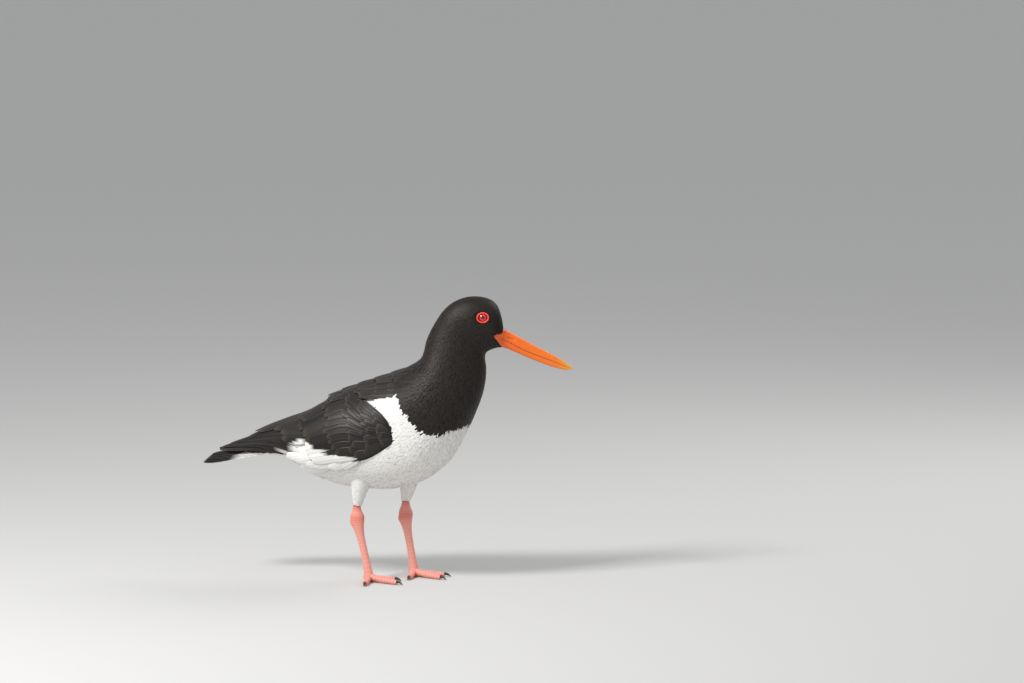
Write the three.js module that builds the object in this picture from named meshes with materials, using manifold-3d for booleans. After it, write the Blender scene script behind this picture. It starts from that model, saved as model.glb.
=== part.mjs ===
// A life-size Eurasian oystercatcher standing at rest, as a museum model.
// Millimetres, +Z up, the bird faces +X and stands on the plane z = 0.
// Body, neck and head are one lofted form parted by thin cuts. Each folded wing and the tail
// is a core that carries overlapping vanes, and each leg is a feathered thigh, a bare shank,
// a palm and three toes with claws.
import * as THREE from "three";
import { mergeVertices } from "three/addons/utils/BufferGeometryUtils.js";
import { ParametricGeometry } from "three/addons/geometries/ParametricGeometry.js";
import { ConvexGeometry } from "three/addons/geometries/ConvexGeometry.js";
import Module from "manifold-3d";

const wasm = await Module();
wasm.setup();

// Driving dimensions, in millimetres and degrees.
const gap = 0.3; // clear space between neighbouring nodes
const smallVolume = 40; // cubic millimetres; nodes under this are merged twice as coarsely
const smallestEdge = 0.05; // edges shorter than this are merged after a union
const headTurn = 14; // the head looks this far to the bird's left of its body
const neckPivotX = 60; // the neck turns round the upright line through this x
const turnStart = 7; // body station where the neck starts to turn
const turnEnd = 12; // body station from which the head is fully turned
const eyeCentre = { x: 87.2, y: 13.4, z: 258 };
const eyeRadius = 4.7;
const eyeRing = { length: 5.4, height: 4.5, tube: 0.95, y: 16.8 };
const footReach = { inner: 25, middle: 35, outer: 30 }; // palm centre to claw root
const clawLength = 6.5;
const webReach = 12; // palm centre to the free edge of the web between two toes

// Stations from rump to bill base: back and belly points in side view, half width, the share
// of the height where the body is widest, and the squareness of the section.
const bodyStations = [
  { back: [-100, 145], belly: [-100, 112], half: 15, level: 0.5 },
  { back: [-84, 154], belly: [-86, 104], half: 25, level: 0.5 },
  { back: [-64, 168], belly: [-67, 96.5], half: 34, level: 0.5 },
  { back: [-43, 180], belly: [-45, 91.5], half: 40.5, level: 0.49 },
  { back: [-20, 191.5], belly: [-20, 89.5], half: 44.5, level: 0.48 },
  { back: [3, 201], belly: [5, 91], half: 46, level: 0.48 },
  { back: [17, 208.5], belly: [32, 100], half: 45.5, level: 0.48 },
  { back: [25, 213.5], belly: [54, 118], half: 43, level: 0.48 },
  { back: [29.5, 218.5], belly: [68, 140], half: 38.5, level: 0.47 },
  { back: [31.5, 225], belly: [78.5, 162], half: 33, level: 0.47 },
  { back: [33, 232.5], belly: [86, 181], half: 27.5, level: 0.48 },
  { back: [36.3, 241], belly: [89.5, 197], half: 23.5, level: 0.5 },
  { back: [41.5, 250.7], belly: [90, 209], half: 21, level: 0.5 },
  { back: [49, 262], belly: [89, 217.8], half: 19.6, level: 0.52 },
  { back: [58.5, 270.5], belly: [90.3, 222.8], half: 19.2, level: 0.54 },
  { back: [70.7, 275.6], belly: [93.5, 225], half: 19, level: 0.56 },
  { back: [83, 276.4], belly: [97, 226.5], half: 18.2, level: 0.56 },
  { back: [94, 273.8], belly: [100, 227.3], half: 15.7, level: 0.55 },
  { back: [101, 268], belly: [102.3, 227.6], half: 12, level: 0.53 },
  { back: [105, 257.6], belly: [104.3, 227.6], half: 8.4, level: 0.5 },
  { back: [107, 247], belly: [106.3, 227.8], half: 5.9, level: 0.5 },
];
const bodySquareness = 2.2;
const neckCut = 7.6; // body station of the cut between torso and neck
const headCut = 12.2; // body station of the cut between neck and head

// Stations of the folded wing from its hidden front to its tip: lower edge and upper edge in
// side view, half width of the wing's arc, and the arc's end angles above the widest level.
const wingStations = [
  { low: [15.5, 143], high: [13.5, 148.5], half: 46.9, from: -9, to: 0 },
  { low: [6, 134.5], high: [0, 165.6], half: 48.2, from: -12, to: 21 },
  { low: [-13, 122.5], high: [-21, 179], half: 48.8, from: -22, to: 48 },
  { low: [-34.5, 115.4], high: [-42, 185], half: 47.8, from: -28, to: 84 },
  { low: [-57, 112.8], high: [-64, 176], half: 43.8, from: -31, to: 87 },
  { low: [-80, 113.8], high: [-86, 162.5], half: 37.4, from: -30, to: 87 },
  { low: [-96, 119.2], high: [-104, 155], half: 31, from: -25, to: 87 },
  { low: [-117, 122.4], high: [-126, 145.6], half: 24.5, from: -16, to: 86 },
  { low: [-140, 122.6], high: [-147, 135.8], half: 18.5, from: -9, to: 84 },
  { low: [-162, 121.6], high: [-165, 128.6], half: 13, from: -4, to: 76 },
  { low: [-174, 121.8], high: [-174.5, 124.8], half: 9, from: 0, to: 30 },
];
// The scapular tract, which lies over the shoulder between the neck and the wing.
const scapularStations = [
  { low: [19, 184.5], high: [14, 207.6], half: 46.8, from: 34, to: 88 },
  { low: [2, 182], high: [-2, 201], half: 48, from: 41, to: 88 },
  { low: [-22, 179.5], high: [-26, 192.4], half: 48.8, from: 49, to: 88 },
  { low: [-44, 175.5], high: [-46, 185.4], half: 47.8, from: 55, to: 88 },
  { low: [-62, 169.5], high: [-66, 177], half: 43.6, from: 57, to: 88 },
];
// Tiers of vanes on the folded wing, from the lowest feather of a tier to its highest. Roots
// and tips are in (wing station, share up from the lower edge), the rest in millimetres.
const wingTiers = [
  {
    shape: "short", // loose white flank feathers that hang behind the thigh
    count: 2,
    root: [[3.75, 0.06], [4.15, 0.04]],
    tip: [[5.2, -0.2], [5.4, -0.12]],
    half: [5, 5],
    lift: [1, 1.3],
  },
  {
    shape: "short", // white feathers of the panel along the lower edge
    count: 6,
    root: [[2, 0.1], [4.4, 0.12]],
    tip: [[3.5, 0], [6.3, 0.03]],
    half: [6, 7],
    lift: [1, 1.3],
  },
  {
    shape: "long", // primaries
    count: 6,
    root: [[5.1, 0.1], [5.3, 0.72]],
    tip: [[9.95, 0.62], [7.3, 0.74]],
    half: [5.2, 7],
    lift: [1, 2.2],
  },
  {
    shape: "long", // tertials
    count: 4,
    root: [[3.9, 0.5], [4.1, 0.88]],
    tip: [[6.3, 0.42], [7.7, 0.86]],
    half: [8, 8.6],
    lift: [2.1, 2.6],
  },
  {
    shape: "short", // greater coverts
    count: 6,
    root: [[2.8, 0.13], [3.4, 0.8]],
    tip: [[4.7, 0.1], [5.3, 0.72]],
    half: [7.6, 8.4],
    lift: [2, 2.6],
  },
  {
    shape: "short", // median coverts
    count: 6,
    root: [[1.9, 0.12], [2.4, 0.82]],
    tip: [[3.6, 0.13], [4, 0.78]],
    half: [7.4, 8],
    lift: [1.8, 2.2],
  },
  {
    shape: "short", // lesser coverts
    count: 5,
    root: [[1.2, 0.13], [1.6, 0.84]],
    tip: [[2.65, 0.14], [2.9, 0.84]],
    half: [7.4, 7.8],
    lift: [1.5, 1.9],
  },
  {
    shape: "short", // marginal coverts
    count: 5,
    root: [[0.5, 0.18], [0.8, 0.84]],
    tip: [[1.8, 0.18], [1.95, 0.86]],
    half: [5.4, 5.8],
    lift: [1.2, 1.4],
  },
];
const scapularTiers = [
  {
    shape: "short",
    count: 5,
    root: [[2.2, 0.1], [2.3, 0.88]],
    tip: [[3.9, 0.12], [4, 0.85]],
    half: [7, 7.6],
    lift: [1.1, 1.4],
  },
  {
    shape: "short",
    count: 5,
    root: [[1.2, 0.08], [1.3, 0.9]],
    tip: [[2.75, 0.1], [2.85, 0.88]],
    half: [7, 7.6],
    lift: [1.5, 1.8],
  },
  {
    shape: "short",
    count: 5,
    root: [[0.3, 0.08], [0.35, 0.9]],
    tip: [[1.75, 0.08], [1.85, 0.9]],
    half: [6.6, 7.2],
    lift: [1.3, 1.6],
  },
];
const tierJitter = 0.05; // share by which a vane's length and width wander
const vaneSink = 0.9; // depth of a vane's underside below the surface it lies on
const wingTrim = 0.6; // the folded wings stay this far from the middle plane

// The tail's core from the rump back: back and belly heights and half width.
const tailStations = [
  { x: -100 - gap, back: 144.6, belly: 112.4, half: 14.8 },
  { x: -110, back: 139, belly: 114.5, half: 16.2 },
  { x: -122, back: 132.5, belly: 115.2, half: 17 },
  { x: -136, back: 126.5, belly: 114.6, half: 16.4 },
  { x: -150, back: 121.6, belly: 114, half: 13 },
];
const tailFeather = {
  pairs: 6,
  rootX: -112,
  tipX: -185,
  outerTip: -189.2, // the outermost vanes reach this far back
  half: 8.2,
  thick: 1.4,
  spread: 12.4, // how far out the outermost tip lies
  gather: 6.5, // how far out the outermost root lies
  rankDrop: 0.55, // each rank lies this far under the one inside it
};
// The tail's roof: its line at the tip, its slope, the droop of its sides and its raised middle.
const tailLine = { x: -185, z: 116.6, slope: 0.125, droop: 4.2, droopAt: 19 };
const tailCrown = { rise: 2.4, halfWidth: 12, run: 7 };

// Bill stations in the head's own frame: x, culmen, line of the mouth, lower edge, half width.
const billStations = [
  { x: 97, top: 243.4, mouth: 240.8, under: 238.4, half: 14.9 },
  { x: 100.5, top: 245.9, mouth: 239.3, under: 234, half: 12.9 },
  { x: 104, top: 247.3, mouth: 237.5, under: 229.8, half: 9.4 },
  { x: 107.2, top: 245.8, mouth: 235.6, under: 227.6, half: 6.3 },
  { x: 111, top: 243.8, mouth: 233.5, under: 226.2, half: 5.4 },
  { x: 115, top: 241.6, mouth: 231.4, under: 224.6, half: 5.0 },
  { x: 123, top: 237.2, mouth: 227, under: 221, half: 4.4 },
  { x: 132, top: 232.2, mouth: 222.7, under: 217.1, half: 3.8 },
  { x: 142.6, top: 226.6, mouth: 218.8, under: 212.9, half: 3.2 },
  { x: 154, top: 220.6, mouth: 214.4, under: 208.8, half: 2.5 },
  { x: 164, top: 214.8, mouth: 210.2, under: 206.2, half: 1.8 },
  { x: 170, top: 210.8, mouth: 208, under: 205.7, half: 1.2 },
  { x: 173.5, top: 208, mouth: 207, under: 206.2, half: 0.7 },
];
const nostril = { x: 114.6, z: 236.2, length: 4.2, height: 0.8, slope: 21, depth: 1.4 };

// Legs: the right one stands back, the left one forward. Angles of the toes are from +X.
const legs = [
  {
    side: "right",
    thighTop: [-26, -21, 112],
    thighMiddle: [-29, -22, 93],
    thighEnd: [-32, -22, 74],
    ankle: [-31.4, -22, 57],
    palm: [-20, -22.5, 4.5],
    toes: { inner: 12, middle: -24, outer: -82 },
  },
  {
    side: "left",
    thighTop: [10, 21, 112],
    thighMiddle: [8, 22, 93],
    thighEnd: [5, 22, 74],
    ankle: [5, 22, 56],
    palm: [13, 22.5, 4.5],
    toes: { inner: -86, middle: -27, outer: 4 },
  },
];

const colours = {
  black: 0x1d1a19,
  white: 0xf2efea,
  orange: 0xf0641c,
  red: 0xd9202c,
  ring: 0xf0502d,
  pink: 0xee7a6c,
  claw: 0x3c3029,
};

// Small helpers for curves and solids.
const radians = THREE.MathUtils.degToRad;

// A list of numbers turned into a smooth function of station number.
function smoothThrough(values) {
  const last = values.length - 1;
  return (station) => {
    const s = THREE.MathUtils.clamp(station, 0, last);
    const i = Math.min(Math.floor(s), last - 1);
    const f = s - i;
    const a = values[i];
    const b = values[i + 1];
    const before = i > 0 ? values[i - 1] : 2 * a - b;
    const after = i + 2 <= last ? values[i + 2] : 2 * b - a;
    const startSlope = (b - before) / 2;
    const endSlope = (after - a) / 2;
    const c2 = 3 * (b - a) - 2 * startSlope - endSlope;
    const c3 = 2 * (a - b) + startSlope + endSlope;
    return a + f * (startSlope + f * (c2 + f * c3));
  };
}

// A closed three.js geometry as a solid, whichever way its faces were wound.
function solidOf(geometry) {
  const bare = new THREE.BufferGeometry();
  bare.setAttribute("position", geometry.getAttribute("position"));
  bare.setIndex(geometry.index);
  const merged = mergeVertices(bare, 1e-3);
  const source = merged.index.array;
  const kept = [];
  for (let i = 0; i < source.length; i += 3) {
    const [a, b, c] = [source[i], source[i + 1], source[i + 2]];
    if (a !== b && b !== c && c !== a) kept.push(a, b, c);
  }
  const vertProperties = new Float32Array(merged.attributes.position.array);
  const build = (triVerts) => {
    const mesh = new wasm.Mesh({ numProp: 3, vertProperties, triVerts });
    return new wasm.Manifold(mesh);
  };
  const solid = build(new Uint32Array(kept));
  if (solid.volume() > 0) return solid;
  for (let i = 0; i < kept.length; i += 3) [kept[i + 1], kept[i + 2]] = [kept[i + 2], kept[i + 1]];
  return build(new Uint32Array(kept));
}

function joinAll(solids) {
  return solids.reduce((sum, next) => sum.add(next));
}

function largestBody(solid) {
  const bodies = solid.decompose();
  return bodies.reduce((best, next) => (next.volume() > best.volume() ? next : best));
}

// Adds a named mesh made from a solid to the model.
const model = new THREE.Group();
model.name = "oystercatcher";
function addNode(name, solid, colour, roughness) {
  const fine = solid.volume() < smallVolume;
  const body = largestBody(solid.simplify(fine ? smallestEdge * 2 : smallestEdge));
  const mesh = body.getMesh();
  const geometry = new THREE.BufferGeometry();
  geometry.setAttribute("position", new THREE.BufferAttribute(mesh.vertProperties, 3));
  geometry.setIndex(new THREE.BufferAttribute(mesh.triVerts, 1));
  geometry.computeVertexNormals();
  const material = new THREE.MeshStandardMaterial({ color: colour, roughness, metalness: 0 });
  const node = new THREE.Mesh(geometry, material);
  node.name = name;
  model.add(node);
  return body;
}

// Turns a point round the neck's upright axis by a share of the head's turn.
function turned(point, share) {
  const angle = radians(headTurn) * share;
  const dx = point.x - neckPivotX;
  const dy = point.y;
  point.x = neckPivotX + dx * Math.cos(angle) - dy * Math.sin(angle);
  point.y = dx * Math.sin(angle) + dy * Math.cos(angle);
  return point;
}

const turnHead = (solid) =>
  solid.translate([-neckPivotX, 0, 0]).rotate([0, 0, headTurn]).translate([neckPivotX, 0, 0]);

// The body surface: a rounded section carried from rump to bill base.
const bodyCurve = {
  backX: smoothThrough(bodyStations.map((s) => s.back[0])),
  backZ: smoothThrough(bodyStations.map((s) => s.back[1])),
  bellyX: smoothThrough(bodyStations.map((s) => s.belly[0])),
  bellyZ: smoothThrough(bodyStations.map((s) => s.belly[1])),
  half: smoothThrough(bodyStations.map((s) => s.half)),
  level: smoothThrough(bodyStations.map((s) => s.level)),
};

const rounded = (value) => Math.sign(value) * Math.abs(value) ** (2 / bodySquareness);

// A point on the body at a station and a turn round the section (0 on the back, 0.25 on the
// left side, 0.5 on the belly), moved outwards by grow.
function bodyPoint(station, around, grow, target) {
  const angle = around * 2 * Math.PI;
  const up = rounded(Math.cos(angle));
  const side = rounded(Math.sin(angle));
  const back = new THREE.Vector2(bodyCurve.backX(station), bodyCurve.backZ(station));
  const belly = new THREE.Vector2(bodyCurve.bellyX(station), bodyCurve.bellyZ(station));
  const middle = belly.clone().lerp(back, bodyCurve.level(station));
  const end = up >= 0 ? back : belly;
  const arm = end.clone().sub(middle);
  arm.setLength(arm.length() + grow).multiplyScalar(Math.abs(up));
  target.set(middle.x + arm.x, side * (bodyCurve.half(station) + grow), middle.y + arm.y);
  const share = THREE.MathUtils.smoothstep(station, turnStart, turnEnd);
  return turned(target, share);
}

// A closed stretch of the body between two stations, with flat ends.
function bodyLoft(from, to, rings, sides, grow = 0) {
  const end = new THREE.Vector3();
  const opposite = new THREE.Vector3();
  return solidOf(
    new ParametricGeometry(
      (around, along, target) => {
        const ring = along * (rings + 2) - 1;
        const station = from + ((to - from) * THREE.MathUtils.clamp(ring, 0, rings)) / rings;
        bodyPoint(station, around, grow, target);
        if (ring < 0 || ring > rings) {
          bodyPoint(station, 0, grow, end);
          bodyPoint(station, 0.5, grow, opposite);
          target.copy(end.add(opposite).multiplyScalar(0.5));
        }
      },
      sides,
      rings + 2,
    ),
  );
}

// A surface for a wing: the outer face as a function of (station, share up from the lower
// edge), moved outwards by lift. Side is 1 on the left and -1 on the right.
function archSurface(stations) {
  const curve = {
    lowX: smoothThrough(stations.map((s) => s.low[0])),
    lowZ: smoothThrough(stations.map((s) => s.low[1])),
    highX: smoothThrough(stations.map((s) => s.high[0])),
    highZ: smoothThrough(stations.map((s) => s.high[1])),
    half: smoothThrough(stations.map((s) => s.half)),
    from: smoothThrough(stations.map((s) => radians(s.from))),
    to: smoothThrough(stations.map((s) => radians(s.to))),
  };
  return (station, up, lift, side, target) => {
    const from = curve.from(station);
    const to = curve.to(station);
    const angle = from + (to - from) * up;
    const lowZ = curve.lowZ(station);
    const height = (curve.highZ(station) - lowZ) / (Math.sin(to) - Math.sin(from));
    const centreZ = lowZ - height * Math.sin(from);
    const half = curve.half(station);
    const normal = new THREE.Vector2(Math.cos(angle) / half, Math.sin(angle) / height).normalize();
    const x = THREE.MathUtils.lerp(curve.lowX(station), curve.highX(station), up);
    const y = half * Math.cos(angle) + normal.x * lift;
    const z = centreZ + height * Math.sin(angle) + normal.y * lift;
    return target.set(x, side * y, z);
  };
}

// A closed shell under an arch surface, thick in the middle and thin at its rim. Its leading
// edge dips under the body.
function archShell(surface, last, side, thickness, rings, sides, dip) {
  return solidOf(
    new ParametricGeometry(
      (around, along, target) => {
        const turn = around * 2 * Math.PI;
        const ring = THREE.MathUtils.clamp(along * (rings + 2) - 1, 0, rings) / rings;
        const closed = along < 1 / (rings + 3) || along > 1 - 1 / (rings + 3);
        const up = closed ? 0.5 : 0.5 - 0.5 * Math.cos(turn);
        const depth = thickness(ring) * Math.min(Math.sin(turn), 0);
        const sunk = dip * (1 - THREE.MathUtils.smoothstep(ring, 0, 0.16));
        const middle = -thickness(ring) / 2;
        surface(ring * last, up, (closed ? middle : depth) - sunk, side, target);
      },
      sides,
      rings + 2,
    ),
  );
}

// One vane laid on an arch surface, from its root to its tip in (station, share up). Its upper
// face climbs from under the surface to its lift at the tip; its underside stays sunk.
// Half width from root to tip, for long and for short vanes.
const vaneOutlines = { long: [0, 0.7, 0.98, 0.98, 0.7, 0], short: [0, 0.82, 1, 0.74, 0] };
const vaneCorners = [
  { across: -1, upper: true },
  { across: 0, upper: true },
  { across: 1, upper: true },
  { across: 1, upper: false },
  { across: 0, upper: false },
  { across: -1, upper: false },
];
function vane(surface, side, root, tip, half, lift, outline) {
  const rows = outline.length - 1;
  const here = new THREE.Vector3();
  const beside = new THREE.Vector3();
  const step = 0.02;
  return solidOf(
    new ParametricGeometry(
      (around, along, target) => {
        const row = Math.round(along * rows);
        const reach = row === rows - 1 ? 0.93 : row / rows;
        const station = THREE.MathUtils.lerp(root[0], tip[0], reach);
        const up = THREE.MathUtils.lerp(root[1], tip[1], reach);
        surface(station, up, 0, side, here);
        surface(station, up + step, 0, side, beside);
        const shareOfMm = step / here.distanceTo(beside);
        const corner = vaneCorners[Math.round(around * 6) % 6];
        const closed = row === 0 || row === rows;
        const top = THREE.MathUtils.lerp(-vaneSink / 2, lift, reach ** 0.7);
        const ridge = 0.3 * (1 - Math.abs(corner.across));
        const face = corner.upper ? top + ridge : -vaneSink;
        const height = closed ? (top - vaneSink) / 2 : face;
        const across = corner.across * outline[row] * half * shareOfMm;
        surface(station, up + across, height, side, target);
      },
      6,
      rows,
    ),
  );
}

// Every vane of the given tiers, each a little different in length and width.
let seed = 7;
function wander() {
  seed = (seed * 16807) % 2147483647;
  return 1 + tierJitter * (2 * (seed / 2147483647) - 1);
}
function vanesOf(tiers, surface, side) {
  const mix = (pair, share) => THREE.MathUtils.lerp(pair[0], pair[1], share);
  const between = (pair, share) => [0, 1].map((i) => mix([pair[0][i], pair[1][i]], share));
  const vanes = [];
  for (const tier of tiers) {
    for (let i = 0; i < tier.count; i++) {
      const share = i / (tier.count - 1);
      const root = between(tier.root, share);
      const tip = between(tier.tip, share);
      tip[0] = root[0] + (tip[0] - root[0]) * Math.min(wander(), 1);
      const half = mix(tier.half, share) * wander();
      const outline = vaneOutlines[tier.shape];
      vanes.push(vane(surface, side, root, tip, half, mix(tier.lift, share), outline));
    }
  }
  return vanes;
}

// One straight tail vane: a thin blade with a raised shaft and a rounded tip.
function tailVane(side, rank) {
  const { pairs, rootX, tipX, outerTip, half, thick, spread, gather, rankDrop } = tailFeather;
  const share = rank / (pairs - 1);
  const outline = [0.72, 0.95, 1, 0.86, 0.5, 0];
  const rows = outline.length;
  const stations = [0, 0.45, 0.82, 0.93, 0.98, 1];
  return solidOf(
    new ParametricGeometry(
      (around, along, target) => {
        const row = Math.max(Math.round(along * rows) - 1, 0);
        const closed = along === 0 || row === rows - 1;
        const corner = vaneCorners[Math.round(around * 6) % 6];
        const x = THREE.MathUtils.lerp(rootX, tipX + (outerTip - tipX) * share, stations[row]);
        const run = (x - rootX) / (tipX - rootX);
        const middle = 1.5 + share * THREE.MathUtils.lerp(gather, spread, run);
        const y = middle + (closed ? 0 : corner.across * outline[row] * half);
        const line = tailLine.z + tailLine.slope * (x - tailLine.x);
        const inner = Math.max(0, 1 - (y / tailCrown.halfWidth) ** 2);
        const crown = inner * (1 - Math.exp(-Math.max(x - tailLine.x, 0) / tailCrown.run));
        const droop = tailLine.droop * (y / tailLine.droopAt) ** 2 * run;
        const roof = line + tailCrown.rise * crown - droop - rankDrop * rank;
        const ridge = 0.25 * (1 - Math.abs(corner.across));
        const face = corner.upper ? ridge : -thick;
        const sideDrop = side > 0 ? 0 : 0.45;
        target.set(x, side * y, roof - sideDrop + (closed ? -thick / 2 : face));
      },
      6,
      rows,
    ),
  );
}

// A limb: an oval carried along a smooth path. Radii are fore-and-aft, then sideways.
function limb(points, radii, rings, sides, grow = 0) {
  const path = new THREE.CatmullRomCurve3(points.map((p) => new THREE.Vector3(...p)));
  const fore = smoothThrough(radii.map((r) => r[0]));
  const wide = smoothThrough(radii.map((r) => r[1]));
  const last = radii.length - 1;
  return solidOf(
    new ParametricGeometry(
      (around, along, target) => {
        const ring = along * (rings + 2) - 1;
        const share = THREE.MathUtils.clamp(ring / rings, 0, 1);
        const centre = path.getPoint(share);
        const tangent = path.getTangent(share);
        if (share === 0) centre.addScaledVector(tangent, -grow);
        if (share === 1) centre.addScaledVector(tangent, grow);
        const across = new THREE.Vector3(tangent.z, 0, -tangent.x);
        if (across.length() < 0.3) across.set(1, 0, 0);
        across.normalize();
        const beside = new THREE.Vector3().crossVectors(tangent, across).normalize();
        const turn = around * 2 * Math.PI;
        const inside = ring >= 0 && ring <= rings;
        const a = inside ? (fore(share * last) + grow) * Math.cos(turn) : 0;
        const b = inside ? (wide(share * last) + grow) * Math.sin(turn) : 0;
        target.copy(centre).addScaledVector(across, a).addScaledVector(beside, b);
      },
      sides,
      rings + 2,
    ),
  );
}

// Torso, neck and head, parted by thin cuts square to the neck.
const cutShare = 0.012; // half a cut, in stations
const lastStation = bodyStations.length - 1;
const torsoLoft = (grow) => bodyLoft(0, neckCut - cutShare, 16, 24, grow);
const neckLoft = (grow) => bodyLoft(neckCut + cutShare, headCut - cutShare, 10, 24, grow);
const headLoft = (grow) => bodyLoft(headCut + cutShare, lastStation, 14, 24, grow);
const trunkRoom = torsoLoft(gap).add(neckLoft(gap));
const headRoom = headLoft(gap).add(headLoft(gap).translate([gap, 0, 0]));

// Eyes and their bare rings, made on the unturned head.
function eyeBall(side, grow) {
  const ball = solidOf(new THREE.SphereGeometry(eyeRadius + grow, 12, 8));
  return ball.translate([eyeCentre.x, side * eyeCentre.y, eyeCentre.z]);
}

function eyeLid(side, grow) {
  const count = { tube: 6, round: 16 };
  const ring = new THREE.TorusGeometry(1, 1, count.tube, count.round);
  const position = ring.getAttribute("position");
  for (let i = 0; i <= count.tube; i++) {
    for (let j = 0; j <= count.round; j++) {
      const tubeTurn = (i / count.tube) * 2 * Math.PI;
      const roundTurn = (j / count.round) * 2 * Math.PI;
      const out = (eyeRing.tube + grow) * Math.cos(tubeTurn);
      const x = (eyeRing.length + out) * Math.cos(roundTurn);
      const z = (eyeRing.height + out) * Math.sin(roundTurn);
      const y = (eyeRing.tube * 0.8 + grow) * Math.sin(tubeTurn);
      position.setXYZ(i * (count.round + 1) + j, x, side * y, z);
    }
  }
  const forward = 5; // the rings face a little forward, as the cheeks narrow
  return solidOf(ring)
    .rotate([0, 0, side * -forward])
    .translate([eyeCentre.x, side * eyeRing.y, eyeCentre.z]);
}

let head = headLoft(0);
for (const [name, side] of [
  ["left", 1],
  ["right", -1],
]) {
  addNode(`eye_${name}`, turnHead(eyeBall(side, 0)), colours.red, 0.1);
  addNode(
    `eye_ring_${name}`,
    turnHead(eyeLid(side, 0).subtract(eyeBall(side, gap))),
    colours.ring,
    0.5,
  );
  head = head.subtract(turnHead(eyeBall(side, gap))).subtract(turnHead(eyeLid(side, gap)));
}

// The bill's two halves: flat-sided blades that part along the line of the mouth.
const billCurve = {
  x: smoothThrough(billStations.map((s) => s.x)),
  top: smoothThrough(billStations.map((s) => s.top)),
  mouth: smoothThrough(billStations.map((s) => s.mouth)),
  under: smoothThrough(billStations.map((s) => s.under)),
  half: smoothThrough(billStations.map((s) => s.half)),
};

function billHalf(isUpper) {
  const rings = 17;
  const lastBill = billStations.length - 1;
  return solidOf(
    new ParametricGeometry(
      (around, along, target) => {
        const ring = along * (rings + 2) - 1;
        const station = (lastBill * THREE.MathUtils.clamp(ring, 0, rings)) / rings;
        const mouth = billCurve.mouth(station) + (isUpper ? gap / 2 : -gap / 2);
        const far = isUpper ? billCurve.top(station) : billCurve.under(station);
        // Round the outer edge, and flat along the mouth.
        const turn = around * Math.PI * 2;
        const arch = Math.max(0, Math.sin(turn)) ** 0.75;
        const wide = Math.sign(Math.cos(turn)) * Math.abs(Math.cos(turn)) ** 0.6;
        const inside = ring >= 0 && ring <= rings;
        const y = inside ? billCurve.half(station) * wide : 0;
        const z = inside ? mouth + (far - mouth) * arch : (mouth + far) / 2;
        target.set(billCurve.x(station), y, z);
      },
      12,
      rings + 2,
    ),
  );
}

const billBase = turnHead(billHalf(true));
const nostrilCut = (side) =>
  solidOf(new THREE.SphereGeometry(1, 9, 6))
    .scale([nostril.length, nostril.depth, nostril.height])
    .rotate([0, nostril.slope, 0])
    .translate([nostril.x, side * 5.1, nostril.z]);
const upperBill = billBase
  .subtract(turnHead(nostrilCut(1)))
  .subtract(turnHead(nostrilCut(-1)))
  .subtract(headRoom);
const lowerBill = turnHead(billHalf(false)).subtract(headRoom);
addNode("bill_upper", upperBill, colours.orange, 0.4);
addNode("bill_lower", lowerBill, colours.orange, 0.4);

// Folded wings.
const wingSurface = archSurface(wingStations);
const scapularSurface = archSurface(scapularStations);

for (const [name, side] of [
  ["left", 1],
  ["right", -1],
]) {
  const core = archShell(wingSurface, 10, side, (along) => 9 - 6 * along, 14, 14, 1.5);
  const tract = archShell(scapularSurface, 4, side, () => 7, 7, 8, 4);
  const flight = vanesOf(wingTiers, wingSurface, side);
  const scapulars = vanesOf(scapularTiers, scapularSurface, side);
  let wing = joinAll([core, tract, ...flight, ...scapulars]).subtract(trunkRoom);
  wing = wing.trimByPlane([0, side, 0], wingTrim);
  addNode(`wing_${name}`, wing, colours.black, 0.6);
}

// The tail: a core of coverts and six pairs of straight vanes.
const tailCurve = {
  x: smoothThrough(tailStations.map((s) => s.x)),
  back: smoothThrough(tailStations.map((s) => s.back)),
  belly: smoothThrough(tailStations.map((s) => s.belly)),
  half: smoothThrough(tailStations.map((s) => s.half)),
};
const tailCore = solidOf(
  new ParametricGeometry(
    (around, along, target) => {
      const rings = 8;
      const ring = along * (rings + 2) - 1;
      const station = (4 * THREE.MathUtils.clamp(ring, 0, rings)) / rings;
      const turn = around * 2 * Math.PI;
      const inside = ring >= 0 && ring <= rings;
      const back = tailCurve.back(station);
      const belly = tailCurve.belly(station);
      const middle = (back + belly) / 2;
      const y = inside ? tailCurve.half(station) * rounded(Math.sin(turn)) : 0;
      const z = inside ? middle + ((back - belly) / 2) * rounded(Math.cos(turn)) : middle;
      target.set(tailCurve.x(station), y, z);
    },
    20,
    10,
  ),
);
const rectrices = [];
for (let rank = 0; rank < tailFeather.pairs; rank++) {
  rectrices.push(tailVane(1, rank), tailVane(-1, rank));
}
addNode("tail", joinAll([tailCore, ...rectrices]), colours.white, 0.7);

// Legs.
function toeSolid(leg, name, grow = 0) {
  const angle = radians(leg.toes[name]);
  const reach = footReach[name];
  const at = (distance, z) => [
    leg.palm[0] + distance * Math.cos(angle),
    leg.palm[1] + distance * Math.sin(angle),
    z,
  ];
  const points = [at(1, 4.6), at(reach * 0.3, 3.4), at(reach * 0.65, 2.7), at(reach, 2.3)];
  const radii = [
    [3.9, 3.6],
    [3.2, 3.3],
    [2.6, 3.1],
    [2.9, 3],
    [2.3, 2.7],
    [2.5, 2.6],
    [1.9, 2.1],
  ];
  return limb(points, radii, 7, 8, grow);
}

function clawSolid(leg, name) {
  const angle = radians(leg.toes[name]);
  const reach = footReach[name];
  const at = (distance, z) => [
    leg.palm[0] + (reach + distance) * Math.cos(angle),
    leg.palm[1] + (reach + distance) * Math.sin(angle),
    z,
  ];
  const points = [at(-1.5, 3), at(1.5, 3.2), at(clawLength * 0.6, 2.5), at(clawLength, 0.9)];
  const radii = [
    [1.4, 1.4],
    [1.4, 1.4],
    [1, 1],
    [0.35, 0.35],
  ];
  return limb(points, radii, 4, 6);
}

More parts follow.
